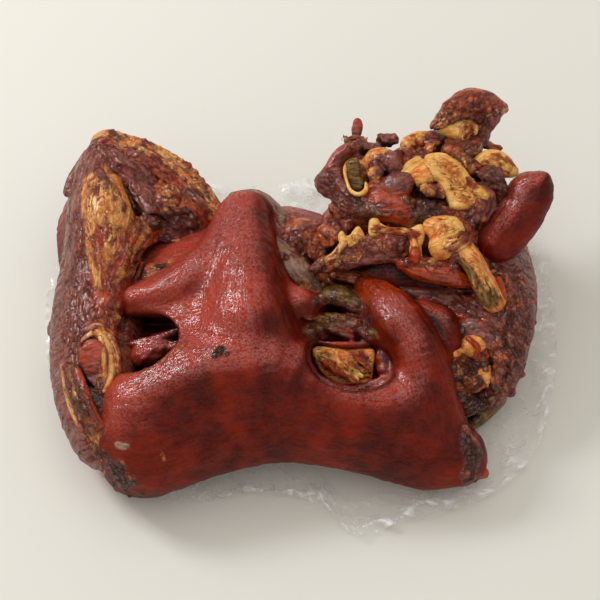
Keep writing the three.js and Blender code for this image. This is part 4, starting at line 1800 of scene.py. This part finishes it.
@dataclass
class Foot(Piece):
    """The foot folded up at the right, and the torn meat that its bones stand in."""

    def forms(self) -> list[Shape]:
        """The forms, from the bulk to the fine things."""
        return [*self._bulk(), *self._heel(), *self._lips(), *self._meat(), *self._crumbs(), *self._crown()]

    def _bulk(self) -> list[Shape]:
        """The rind-wrapped bulk and the neck of meat on it.

        Returns:
            Its forms.
        """
        return [
            bulk(RIND, 10, (56, 36, 29), (50, 44, 33)),
            bulk(PLUM, 8, (88, 12, 26), (27, 48, 30)),
            rope(PLUM, 5, (100, 14, 42, 9), (104, -4, 38, 10), (104, -20, 34, 10), (101, -34, 28, 10),
                 (94, -46, 20, 9)),
            rope(GRISTLE, 3, (96, -48, 12, 7), (88, -57, 7, 6), (82, -62, 5, 4)),
            lump(MEAT, 3, (78, -36, 34), (9, 10, 9)),
            # Dark lump filling the gap below the heel: painted shade.
            lump(CHAR, 4, (79, -50, 22), (11, 9, 12)),
            lump(MEAT, 6, (58, 40, 54), (38, 20, 18)),
            lump(MEAT, 6, (62, 60, 62), (34, 15, 13)),
            lump(MEAT, 5, (28, 61, 64), (9, 12, 8)),
        ]

    def _heel(self) -> list[Shape]:
        """The stringy wall of the heel and the pocket in it.

        Returns:
            Its forms.
        """
        return [
            lump(PLUM, 1.5, (76, -36, 42), (5, 4.5, 4)),
            lump(MEAT, 1.5, (87, -41, 36), (5, 5, 4)),
            lump(GLAZE, 1.5, (91, -30, 40), (4, 6, 4)),
            rope(CHAR, 1.5, (78, -17, 44, 2.4), (88, -13, 45, 2.6), (97, -18, 44, 2.4), (99, -30, 40, 2.6),
                 (97, -42, 34, 2.4)),
            rope(PLUM, 1.5, (100, 4, 48, 3), (106, -8, 45, 3), (108, -22, 40, 3), (105, -36, 34, 3)),
            Strewn((CHAR, MEAT, PLUM, MEAT), 150, 1.6, 0, 4.5, 41,
                   ((103, 12), (108, -8), (107, -26), (98, -44))),
            Strewn((CHAR, GLAZE, PLUM), 90, 1.3, 8, 6.0, 40, ((72, 4), (84, -2), (94, 0), (98, 12)), lie=-30),
            Strewn((CHAR, PLUM, MEAT), 70, 0.9, 9, 4.5, 42, ((103, 12), (108, -8), (107, -26), (98, -44)),
                   lie=-70),
            Strewn((CHAR, MEAT, SINEW), 70, 1.2, 0, 5.0, 43, ((74, -24), (82, -34), (90, -38))),
            Strewn((CHAR, MEAT), 30, 0.8, 6, 5.0, 44, ((76, -26), (88, -36))),
            Strewn((GRISTLE, CHAR), 30, 0.9, 7, 3.0, 45, ((92, -50), (82, -60)), lie=28),
        ]

    def _lips(self) -> list[Shape]:
        """The torn lips of skin under the bones.

        Returns:
            Its forms.
        """
        return [
            slab(PLUM, 2, 60, 6, 3, (5, 16), (8, 14), (20, 15), (34, 18), (46, 20), (46, 25), (32, 28),
                 (18, 24), (9, 19)),
            lump(MEAT, 3, (16, 32, 61), (7, 7, 7)),
            lump(MEAT, 2, (22, 37, 61), (5, 4, 5)),
            rope(SINEW, 1.2, (12, 19, 66, 1.6), (18, 23, 67, 2), (22, 28, 68, 2)),
            rope(RIND, 3, (34, 26, 64, 5), (44, 27, 65, 5.5)),
            lump(CHAR, 3, (51, 24, 60), (4, 6, 5)),
            rope(GLAZE, 5, (51, 17, 61, 2.5), (58, 14.5, 62, 4), (68, 13, 63, 5), (77, 11, 62, 4.5),
                 (84, 9, 59, 2.5)),
            rope(MEAT, 1.5, (54, 19, 65, 2), (64, 19, 66, 2.4), (78, 17, 65, 2.2)),
            Strewn((PLUM, MEAT, SINEW), 40, 0.8, 9, 2.5, 51, ((8, 17), (20, 21), (30, 24)), lie=28),
            Strewn((SINEW, GLAZE, PLUM), 44, 1.0, 0, 1.8, 52, ((54, 18), (64, 19), (74, 18))),
            Strewn((MEAT, PLUM), 40, 1.3, 0, 3.5, 53, ((14, 36), (20, 34), (24, 38))),
        ]

    def _meat(self) -> list[Shape]:
        """The knobs and folds between the bones.

        Returns:
            Its forms.
        """
        return [
            slab(PLUM, 2, 66, 5, 3.5, (7.5, 60), (13, 64), (19, 66), (24, 60), (26, 52), (22, 46), (17, 50),
                 (10, 54)),
            rope(CHAR, 2, (20, 48, 68, 3), (28, 46, 68, 3.5), (34, 44, 68, 3)),
            lump(MEAT, 4, (30, 46, 66), (9, 7, 8), -20),
            lump(GLAZE, 4, (42, 46, 69), (9, 9, 9)),
            lump(GLAZE, 4, (50, 46, 70), (7, 9, 9)),
            lump(PLUM, 3, (49, 58, 76), (9, 5.5, 6), 10),
            lump(GLAZE, 2, (38, 55, 73), (5, 5, 5)),
            lump(SINEW, 2.5, (40, 69, 74), (8, 7, 8)),
            lump(PLUM, 2, (46, 68, 76), (5, 6, 7)),
            # Pale nub on the knob, lightened also as a painted highlight.
            lump(SINEW, 1.5, (38, 63, 78), (4, 3.8, 4)),
            lump(PLUM, 2, (37, 75, 70), (4, 3, 4)),
            lump(PLUM, 2, (66, 78, 71), (6.5, 6.5, 6.5)),
            lump(PLUM, 2, (44, 80, 66), (5.5, 3, 4)),
            rope(MEAT, 1, (32, 77, 66, 1.2), (40, 77.5, 66, 1.2)),
            lump(MEAT, 4, (82, 77, 72), (9, 8, 10)),
            rope(MEAT, 2, (76, 76, 76, 3), (84, 74, 77, 3.4), (88, 80, 76, 3)),
            rope(MEAT, 1.5, (90, 79, 69, 2), (96, 76.5, 67, 1.8), (100, 76, 66, 1)),
            lump(PLUM, 2, (96, 62, 76), (6, 5, 5), -20),
            lump(PLUM, 2, (99, 56, 72), (5, 4, 5), -20),
            rope(PLUM, 2, (88, 56, 74, 3), (91, 48, 74, 4), (88, 42, 72, 3)),
            rope(PLUM, 1.5, (93, 55, 73, 2.4), (95, 48, 72, 2.6), (92, 41, 70, 2)),
            lump(CHAR, 2, (63, 44, 70), (8, 6, 5)),
            # Dark sliver in the gap between the purple folds: painted shade.
            lump(CHAR, 2, (97, 47, 66), (2.5, 6, 4), 10),
            lump(PLUM, 2, (81, 33, 68), (5.5, 7.5, 7)),
            lump(PLUM, 2, (78, 24, 67), (5.5, 5, 6)),
            lump(GLAZE, 2, (66, 55, 76), (6, 3.5, 4), -10),
            rope(MEAT, 3, (66, 41, 69, 4), (74, 42, 70, 4), (82, 41, 70, 4)),
            rope(MEAT, 3, (36, 29, 64, 4), (48, 29, 65, 5), (53, 27, 64, 4)),
            rope(MEAT, 2, (50, 73, 74, 3), (58, 72, 75, 3), (66, 74, 75, 3)),
            rope(MEAT, 2, (74, 75, 77, 3), (80, 70, 78, 3), (86, 66, 76, 3.5)),
            lump(MEAT, 3, (21, 44, 64), (6, 5, 6)),
            Strewn((MEAT, PLUM, SINEW), 70, 1.5, 0, 3.0, 141, ((50, 73), (60, 72), (74, 74), (86, 66))),
            Strewn((MEAT, PLUM, GLAZE), 70, 1.4, 0, 3.0, 142, ((66, 42), (76, 42), (86, 40), (93, 52))),
            Strewn((MEAT, PLUM), 50, 1.3, 0, 3.0, 143, ((34, 30), (46, 29), (54, 28))),
            Strewn((MEAT, PLUM, MEAT), 50, 1.4, 0, 3.0, 144, ((22, 44), (24, 50), (20, 56))),
        ]

    def _crumbs(self) -> list[Shape]:
        """The crumbs and threads that lie over them.

        Returns:
            Its forms.
        """
        return [
            Strewn((PLUM, CHAR), 30, 0.9, 10, 2.5, 33, ((10, 60), (16, 56), (24, 49)), lie=-35),
            Strewn((CHAR, PLUM, PALE), 40, 0.9, 7, 3.0, 34, ((22, 50), (30, 46), (38, 46)), lie=-10),
            Strewn((CHAR, CHAR, GRISTLE), 110, 1.3, 0, 3.6, 35, ((58, 44), (64, 46), (70, 42))),
            Strewn((PLUM, GLAZE, SINEW), 60, 1.2, 0, 2.6, 36, ((58, 54), (66, 55), (72, 52))),
            Strewn((CHAR, MEAT, SINEW), 70, 1.2, 6, 3.5, 37, ((72, 76), (82, 74), (90, 78)), lie=30),
            Strewn((PLUM, MEAT), 44, 1.0, 0, 2.4, 38, ((40, 80), (50, 78), (62, 82))),
            Strewn((PLUM, MEAT), 50, 0.9, 8, 2.6, 39, ((88, 58), (92, 50), (88, 42)), lie=70),
            Strewn((PLUM, SINEW), 44, 0.8, 0, 2.6, 40, ((36, 70), (42, 66), (38, 60))),
            Strewn((PLUM, CHAR, GLAZE), 40, 1.1, 0, 2.4, 46, ((78, 18), (82, 26), (83, 34))),
            Strewn((PLUM, CHAR), 26, 0.9, 6, 2.0, 47, ((90, 66), (96, 60), (102, 56)), lie=-30),
        ]

    def _crown(self) -> list[Shape]:
        """Raises the hood of skin and the spiky crown round the bright tip at the back.

        Returns:
            Its forms.
        """
        forms: list[Shape] = [
            rope(RIND, 2, (11, 62, 67, 2), (16, 67, 70, 3.2), (21, 72.5, 72, 3.8), (27, 75.5, 72, 3.8),
                 (34, 75.5, 70, 2.8)),
            rope(PLUM, 1.5, (19, 64, 70, 2.4), (21, 57, 71, 2.6), (26, 51, 71, 2.4)),
            slab(MEAT, 1.5, 67, 2.5, 1.5, (23, 76), (24, 81), (28, 82), (32, 81), (33, 76)),
            slab(GLAZE, 0.8, 68, 2.2, 2, (26.5, 82), (25.6, 86), (27, 90), (29, 91), (31, 89.5), (31.6, 86.5),
                 (30, 82)),
        ]
        for number, lean in enumerate((-6.5, -4.5, 4, 6)):
            tip = (28 + lean, 83 - number % 2, 68, 0.3)
            forms.append(rope(SINEW if number % 2 else MEAT, 0.6, (28 + lean * 0.7, 79, 67, 0.9), tip))
        return [
            *forms,
            rope(PALE, 0.4, (21.5, 81.5, 67, 0.35), (20.5, 78, 66, 0.4), (21.5, 75, 66, 0.4)),
            Strewn((MEAT, PLUM), 24, 0.9, 0, 1.6, 48, ((24, 78), (32, 78))),
            Strewn((RIND, PLUM), 20, 0.7, 6, 1.5, 49, ((18, 69), (26, 74), (34, 74)), lie=30),
        ]


@dataclass
class RightToe(Piece):
    """The fleshy toe that stands up at the right."""

    def forms(self) -> list[Shape]:
        """The toe's pad, cut flat at the top, and its root.

        Returns:
            Its forms.
        """
        return [
            slab(RIND, 3, 60, 10, 9, (110, 62), (117, 63.5), (123, 63), (126, 56), (125.5, 49), (121, 40),
                 (115, 31), (109, 24), (103, 20), (96, 20), (91, 26), (90, 34), (93, 41), (98, 47),
                 (104, 54)),
            rope(RIND, 4, (97, 28, 56, 8), (106, 38, 60, 10.5), (112, 50, 63, 9.5)),
            lump(RIND, 4, (98, 24, 52), (6, 7, 9)),
        ]


@dataclass
class TopToe(Piece):
    """The cap of the toe at the back, on its stem."""

    def forms(self) -> list[Shape]:
        """The cap, its brim and its stem.

        Returns:
            Its forms.
        """
        return [
            slab(MEAT, 2, 83, 8, 6.5, (66, 86.5), (69, 92), (74, 98.5), (80, 103.5), (87, 105), (95, 103),
                 (101, 98.5), (103.5, 95), (99, 92), (95, 90), (88, 92), (80, 92), (72, 89)),
            lump(MEAT, 3, (84, 97, 88), (12, 5, 4), 4),
            rope(PLUM, 2, (93, 98, 86, 4), (96, 92, 84, 4), (95, 88, 82, 2.6)),
            rope(PALE, 1, (89, 104, 83, 1.6), (96, 102, 83, 1.8), (102, 97, 82, 1.6)),
            rope(CHAR, 4, (91, 91, 80, 5.5), (88, 82, 74, 6.5)),
            rope(CHAR, 1, (68, 86, 84, 1.4), (76, 90, 86, 1.6), (84, 92, 86, 1.6), (90, 90, 86, 1.2)),
            Strewn((MEAT, SINEW, GLAZE), 90, 0.8, 7, 4.0, 55, ((72, 92), (82, 98), (94, 99)), lie=24),
            Strewn((MEAT, PLUM), 50, 1.1, 0, 3.0, 56, ((74, 94), (84, 97), (96, 94))),
            Strewn((CHAR, MEAT), 40, 1.0, 6, 2.0, 57, ((91, 90), (90, 84), (90, 80)), lie=60),
        ]


@dataclass
class BareBone(Piece):
    """A bone, or the gristle of a joint, that shows bare."""

    shapes: list[Shape]
    roughness: float = 0.5

    def forms(self) -> list[Shape]:
        """The forms that it is given."""
        return self.shapes

    def relief(self, skin: Skin) -> np.ndarray:
        """Works out the chips, pits and ripples of bare bone.

        Args:
            skin: The skin that they are on.

        Returns:
            How far each point moves out.
        """
        ripples = noise(skin.grain, (12, 2.0, 1), 61)
        broad = layered(skin.points, 7, 2, 67)
        chips = pebbles(skin.points, 3.2, 63) - 0.5
        return (ripples * 0.35 + broad + chips * 0.4) * self.roughness


def bare_bones(pitch: float, base: float) -> list[BareBone]:
    """Lists the bones that show.

    Args:
        pitch: The pitch of their grids.
        base: The height that nothing goes below.

    Returns:
        One piece for each bone node of the part.
    """
    shapes: dict[str, list[Shape]] = {
        "cannon_bone": [
            rope(SINEW, 2, (78, 29, 69, 6), (85, 21, 68, 5.2), (91, 11, 63, 5.2), (97, 0, 56, 5.6)),
            lump(SINEW, 3, (70, 36, 71), (8.2, 5.8, 7), -8),
            lump(BONE, 3, (76, 34, 71), (6.5, 7, 7)),
            lump(SINEW, 3, (71, 27, 70), (6.5, 7, 6.5), 10),
            rope(PLUM, 2, (76, 27, 75, 2.4), (80, 31, 75, 2.8), (83, 28, 73, 2.2)),
            rope(GRISTLE, 1, (82, 20, 70, 1.5), (88, 8, 66, 2), (93, -1, 60, 2)),
            rope(GLAZE, 1, (99, 10, 62, 2), (101, 2, 58, 2.4)),
            Strewn((BONE, SINEW), 22, 0.6, 8, 2.6, 71, ((70, 36), (76, 33), (78, 28)), lie=40),
            Strewn((BONE, SINEW, GRISTLE), 24, 0.5, 9, 2.0, 72, ((86, 20), (92, 8), (97, 0)), lie=-62),
        ],
        "pastern_plate": [
            slab(BONE, 2, 77, 4.5, 3, (63, 71), (69, 73), (75, 71.5), (81, 65), (88, 58), (95, 54),
                 (94.5, 50), (88, 47), (82, 45), (76, 46), (73, 52), (70, 58), (66, 63)),
            rope(BONE, 2.5, (66, 69, 80, 2), (76, 68, 81, 2.2), (84, 59, 81, 2.2), (92, 52, 79, 2)),
            lump(SINEW, 3, (61.5, 62, 78), (6, 5.5, 5), 20),
            rope(PLUM, 1.5, (92, 56, 78, 1.6), (96, 52, 77, 2), (92, 47, 76, 1.8)),
            Strewn((SINEW, BONE), 26, 0.5, 9, 3.0, 73, ((72, 66), (80, 56), (84, 50)), lie=-50),
            Strewn((GLAZE, SINEW), 8, 0.8, 4, 1.6, 74, ((84, 59), (87, 56)), lie=-40),
        ],
        "joint_cup": [
            slab(GRISTLE, 1, 72, 3, 2, (23, 67), (26, 70), (29.5, 69), (30.5, 62), (33, 58), (31, 54),
                 (26, 54), (23.5, 59)),
            rope(BONE, 0.8, (28, 70.5, 74, 0.6), (24, 69, 75, 0.8), (22.3, 65, 76, 0.9), (23.5, 59, 76, 0.8),
                 (25.5, 54.5, 76, 0.9), (29.5, 52.8, 76, 1.1), (33, 55, 76, 1.2), (33, 58.5, 75, 0.7)),
        ],
        "toe_bone": [
            slab(BONE, 1.5, 80, 5, 3.5, (68.5, 85), (73, 88.5), (79, 90.5), (86, 90), (89, 86.5), (87, 82),
                 (81, 80), (75, 81.5)),
            carve(rope(CHAR, 0.6, (74.5, 82.5, 86, 0.7), (77, 86, 87, 1.1), (79, 88.5, 87, 0.7))),
            rope(SINEW, 1, (83, 89, 84, 1.4), (84, 84, 84, 1.6), (82, 80.5, 82, 1.2)),
            Strewn((GLAZE, CHAR, BONE), 24, 0.6, 6, 2.2, 75, ((82, 88), (86, 84)), lie=70),
        ],
        "rear_knob": [
            rope(BONE, 2, (87, 64, 73, 2.6), (90, 69, 75, 3.4), (96, 71.5, 76, 3.6), (102, 69.5, 75, 3.4),
                 (106, 64.5, 72, 3)),
            lump(SINEW, 3, (97, 66, 73), (8, 5, 6), -18),
            Strewn((GLAZE, BONE), 16, 0.7, 6, 1.5, 76, ((90, 68), (98, 70), (105, 66)), lie=-10),
        ],
        "upper_knob": [
            lump(BONE, 2, (57, 78, 72), (7, 5, 6), 15),
            rope(SINEW, 1.5, (52, 78, 74, 1.8), (58, 82, 76, 2), (63, 83, 75, 1.6)),
            Strewn((SINEW, GLAZE), 14, 0.6, 6, 1.8, 77, ((54, 78), (60, 80)), lie=-35),
        ],
        "split_bone": [
            rope(BONE, 1, (51, 64, 77, 1.6), (55, 68, 77, 2), (61, 71, 76, 1.8)),
            rope(BONE, 1, (52, 61.5, 77, 1.8), (57, 65, 77, 2), (62, 69, 76, 1.6)),
            rope(SINEW, 1, (56, 60.5, 77, 1.2), (59, 64, 77, 1.4)),
        ],
        "jagged_bone": [
            slab(BONE, 1, 66, 3.6, 2.5, (19.5, 32), (21.5, 34.5), (24, 31.5), (26.5, 34.5), (29, 36.5),
                 (31.5, 33), (32, 30), (28, 26), (25, 25), (21, 27)),
            Strewn((SINEW, BONE), 16, 0.7, 4, 2.0, 78, ((22, 29), (29, 31)), lie=50),
        ],
        "strip_bone": [
            slab(BONE, 1.5, 68, 3.4, 2.4, (35.5, 39), (39.5, 40), (41, 36.5), (47, 36), (54, 35.5),
                 (60, 37.5), (62, 33), (60, 26), (60.5, 20), (56, 19), (54, 26), (54.5, 31), (48, 32.5),
                 (41, 33), (36, 31.5)),
            rope(SINEW, 1, (38, 38, 71, 1.4), (44, 35, 72, 1.4), (54, 34, 71, 1.4), (58, 26, 70, 1.6)),
            lump(GLAZE, 1.5, (57.5, 22, 69), (3, 4, 3)),
            Strewn((GLAZE, SINEW), 20, 0.7, 5, 1.4, 79, ((38, 35), (48, 34), (57, 30)), lie=0),
        ],
        "window_bone": [
            slab(SINEW, 1.5, 40, 7, 3.5, (7, -25), (16, -24), (28, -24.5), (36, -25), (36, -33), (34, -41),
                 (26, -43), (17, -40.5), (11, -35)),
            rope(BONE, 1, (9, -28, 47, 1.6), (18, -35, 47, 1.8), (28, -40, 46, 1.6)),
            rope(BONE, 1, (14, -27, 47, 1), (22, -33, 48, 1.2), (31, -38, 47, 1)),
            rope(GLAZE, 1, (24, -26, 47.5, 0.7), (29, -30, 47.5, 0.8), (34, -35, 46.5, 0.6)),
            Strewn((BONE, SINEW, GLAZE), 60, 0.6, 11, 4.0, 80, ((10, -28), (22, -33), (33, -36)), lie=-38),
        ],
        "heel_bone": [
            lump(SINEW, 2, (87, -23, 42), (6.3, 5.8, 6)),
            lump(SINEW, 2, (91.5, -36, 36), (4.8, 7.5, 5.5), 12),
            lump(SINEW, 2, (75.5, -27, 41), (6, 4.5, 4.5)),
            rope(GLAZE, 1, (84, -19, 47, 1), (89, -24, 48, 1.2), (88, -29, 46, 1)),
        ],
    }
    bones = [BareBone(f"bare_{node}", node, "bone", pitch, base, forms) for node, forms in shapes.items()]
    cup = next(bone for bone in bones if bone.node == "joint_cup")
    cup.slot, cup.roughness = "gristle", 0.15
    return bones


@dataclass
class Film:
    """The crumpled clear film under the trotter."""

    half_length: float
    half_depth: float
    lowest: float = 0.3
    rise: float = 5.0
    around: int = 420
    rings: int = 60
    crowding: float = 0.7
    sharpness: float = 2.2
    outline: tuple[tuple[float, float], ...] = (
        (-127, -10), (-122, -45), (-106, -76), (-80, -92), (-50, -95), (-20, -91), (8, -97), (26, -112),
        (50, -105), (90, -93), (115, -69), (124, -25), (120, 15), (112, 45), (92, 62), (60, 68), (25, 64),
        (-20, 56), (-60, 58), (-98, 48), (-119, 27),
    )

    def _edge(self, angles: np.ndarray) -> np.ndarray:
        """Finds how far out the film reaches.

        Args:
            angles: Directions on the table, in radians.

        Returns:
            The distance from the middle in each direction.
        """
        points = np.array([SIGHT.place(across, up, 0)[:2] for across, up in self.outline])
        closed = np.vstack([points[-1], points, points[0], points[1]])
        curve = smooth_path(closed, 6)
        own = np.unwrap(np.arctan2(curve[:, 1], curve[:, 0]))
        order = np.argsort(own)
        reach = np.hypot(curve[:, 0], curve[:, 1])[order]
        return np.interp(angles, own[order], reach, period=2 * math.pi)

    def _ridges(self, places: np.ndarray, size: float, layers: int, seed: int) -> np.ndarray:
        """Folds the film.

        Args:
            places: Its points, laid flat.
            size: The distance between two folds.
            layers: How many finer layers of folds there are.
            seed: Which folds they are.

        Returns:
            The height of each point, 1 on a fold.
        """
        return 1 - np.abs(layered(places, size, layers, seed)) * self.sharpness

    def _crumpled(self) -> tuple[np.ndarray, np.ndarray]:
        """Lays the film out and crumples what reaches out from under the trotter.

        Returns:
            Its points, the middle first and then ring by ring, and how creased each one is, which sets its
            white haze and painted highlights.
        """
        angles = np.linspace(0, 2 * math.pi, self.around, endpoint=False)
        shares = np.linspace(0, 1, self.rings + 1)[1:] ** self.crowding
        reach = self._edge(angles)
        rings = [np.outer(shares, reach * wave(angles)).ravel() for wave in (np.cos, np.sin)]
        places = np.vstack([np.zeros(3), np.stack([*rings, np.zeros(rings[0].size)], 1)])
        loose = np.concatenate([[0.0], np.repeat(smoothstep(0.72, 0.97, shares), self.around)])
        ridges, fine = self._ridges(places, 17, 3, 71), self._ridges(places, 6, 2, 75)
        height = self.lowest + loose * self.rise * np.clip(0.25 + 0.55 * ridges + 0.25 * fine, 0.0, 1.3)
        crease = smoothstep(0.72, 1.0, ridges) * 0.6 + smoothstep(0.75, 1.0, fine) * 0.6
        points = np.column_stack([places[:, :2], height])
        for axis, half in enumerate((self.half_length, self.half_depth)):
            low, high = points[:, axis].min(), points[:, axis].max()
            points[:, axis] = (points[:, axis] - (low + high) / 2) * 2 * half / (high - low)
        return points, loose * np.clip(crease, 0, 1)

    def _faces(self) -> list[list[int]]:
        """Joins the rings.

        Returns:
            The points of each face.
        """
        turn = np.arange(self.around)
        following = (turn + 1) % self.around
        faces = np.stack([np.zeros(self.around, int), 1 + turn, 1 + following], 1).tolist()
        for ring in range(self.rings - 1):
            start, after = 1 + ring * self.around, 1 + (ring + 1) * self.around
            faces += np.stack([start + turn, after + turn, after + following, start + following], 1).tolist()
        return faces

    def build(self, material: bpy.types.Material) -> bpy.types.Object:
        """Crumples the film and sets it in the frame.

        Args:
            material: Its finish.

        Returns:
            The object.
        """
        points, crease = self._crumpled()
        mesh = bpy.data.meshes.new("clear_film")
        mesh.from_pydata((points * MM).tolist(), [], self._faces())
        mesh.polygons.foreach_set("use_smooth", np.ones(len(mesh.polygons), bool))
        write_numbers(mesh, "crease", crease)
        made = bpy.data.objects.new("clear_film", mesh)
        bpy.context.scene.collection.objects.link(made)
        mesh.materials.append(material)
        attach(made, "root")
        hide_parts("film")
        return made


@dataclass(frozen=True)
class Lamp:
    """A square soft light, in metres and watts."""

    name: str
    place: tuple[float, float, float]
    size: float
    power: float
    colour: Colour

    def hang(self, target: Vector) -> None:
        """Hangs the light.

        Args:
            target: What it faces.
        """
        lamp = bpy.data.lights.new(self.name, "AREA")
        lamp.shape, lamp.size, lamp.energy, lamp.color = "SQUARE", self.size, self.power, self.colour
        made = bpy.data.objects.new(self.name, lamp)
        made.location = self.place
        made.rotation_euler = (target - made.location).to_track_quat("-Z", "Y").to_euler()
        bpy.context.scene.collection.objects.link(made)


@dataclass
class Studio:
    """The pale floor, the soft lights and the camera, in metres."""

    TARGET = Vector((0, 0, 0.03))
    BELOW = -0.0002

    floor_size: float = 6.0
    floor_colour: Colour = srgb(224, 220, 211)
    lamps: tuple[Lamp, ...] = (
        Lamp("key light", (-0.85, 0.5, 0.92), 0.34, 8.8, (0.94, 0.975, 1.0)),
        Lamp("top light", (-0.1, 0.15, 1.6), 1.6, 5.5, (1.0, 0.985, 0.945)),
    )
    fill: float = 0.61
    fill_colour: Colour = (1.0, 0.985, 0.94)

    def floor(self) -> None:
        """Lays the floor."""
        bpy.ops.mesh.primitive_plane_add(size=self.floor_size, location=(0, 0, self.BELOW))
        made = bpy.context.object
        made.name = "floor"
        paint = Paint("pale floor")
        made.data.materials.append(paint.finish({"Base Color": (*self.floor_colour, 1.0), "Roughness": 0.9}))

    def world(self) -> None:
        """Fills in the shadows evenly."""
        world = bpy.data.worlds.new("studio")
        world.use_nodes = True
        background = world.node_tree.nodes["Background"]
        background.inputs["Color"].default_value = (*self.fill_colour, 1.0)
        background.inputs["Strength"].default_value = self.fill
        bpy.context.scene.world = world

    def camera(self, sight: Sight) -> None:
        """Sets up the camera at the photograph's angle.

        Args:
            sight: The line of sight.
        """
        lens = bpy.data.cameras.new("camera")
        lens.lens, lens.sensor_width = sight.lens, sight.sensor
        made = bpy.data.objects.new("camera", lens)
        target = Vector((0, sight.table_y * MM, 0))
        made.location = target + Vector(sight.towards) * sight.distance * MM
        made.rotation_euler = (target - made.location).to_track_quat("-Z", "Y").to_euler()
        bpy.context.scene.collection.objects.link(made)
        bpy.context.scene.camera = made

    def build(self) -> None:
        """Sets up the studio."""
        self.floor()
        for lamp in self.lamps:
            lamp.hang(self.TARGET)
        self.world()
        self.camera(SIGHT)
        bpy.context.scene.view_settings.view_transform = "Standard"


def main() -> None:
    """Builds the trotter piece by piece."""
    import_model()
    _, film_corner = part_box("film")
    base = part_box("flesh")[0].z / MM
    coarse, fine = ((1.0, 0.8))
    bone_pitch = fine * 0.75
    flesh, bone = BraisedFinish().material(), BraisedFinish("stained bone", 0.4).material()
    pieces: list[Piece] = [
        Saddle("saddle", "flesh", "rind", coarse, base),
        Shank("shank", "flesh", "rind", fine, base),
        Foot("foot", "flesh", "rind", fine, base),
        RightToe("right_toe", "flesh", "rind", fine, base),
        TopToe("top_toe", "flesh", "rind", fine, base),
        *bare_bones(bone_pitch, base),
    ]
    for piece in pieces:
        made = piece.build(bone if isinstance(piece, BareBone) else flesh)
        LOG.info("%s: %d faces", made.name, len(made.data.polygons))
    film = Film(film_corner.x / MM, film_corner.y / MM).build(FilmFinish().material())
    LOG.info("%s: %d faces", film.name, len(film.data.polygons))
    Studio().build()


if __name__ == "__main__":
    logging.basicConfig(level=logging.INFO, format="%(name)s: %(message)s")
    main()
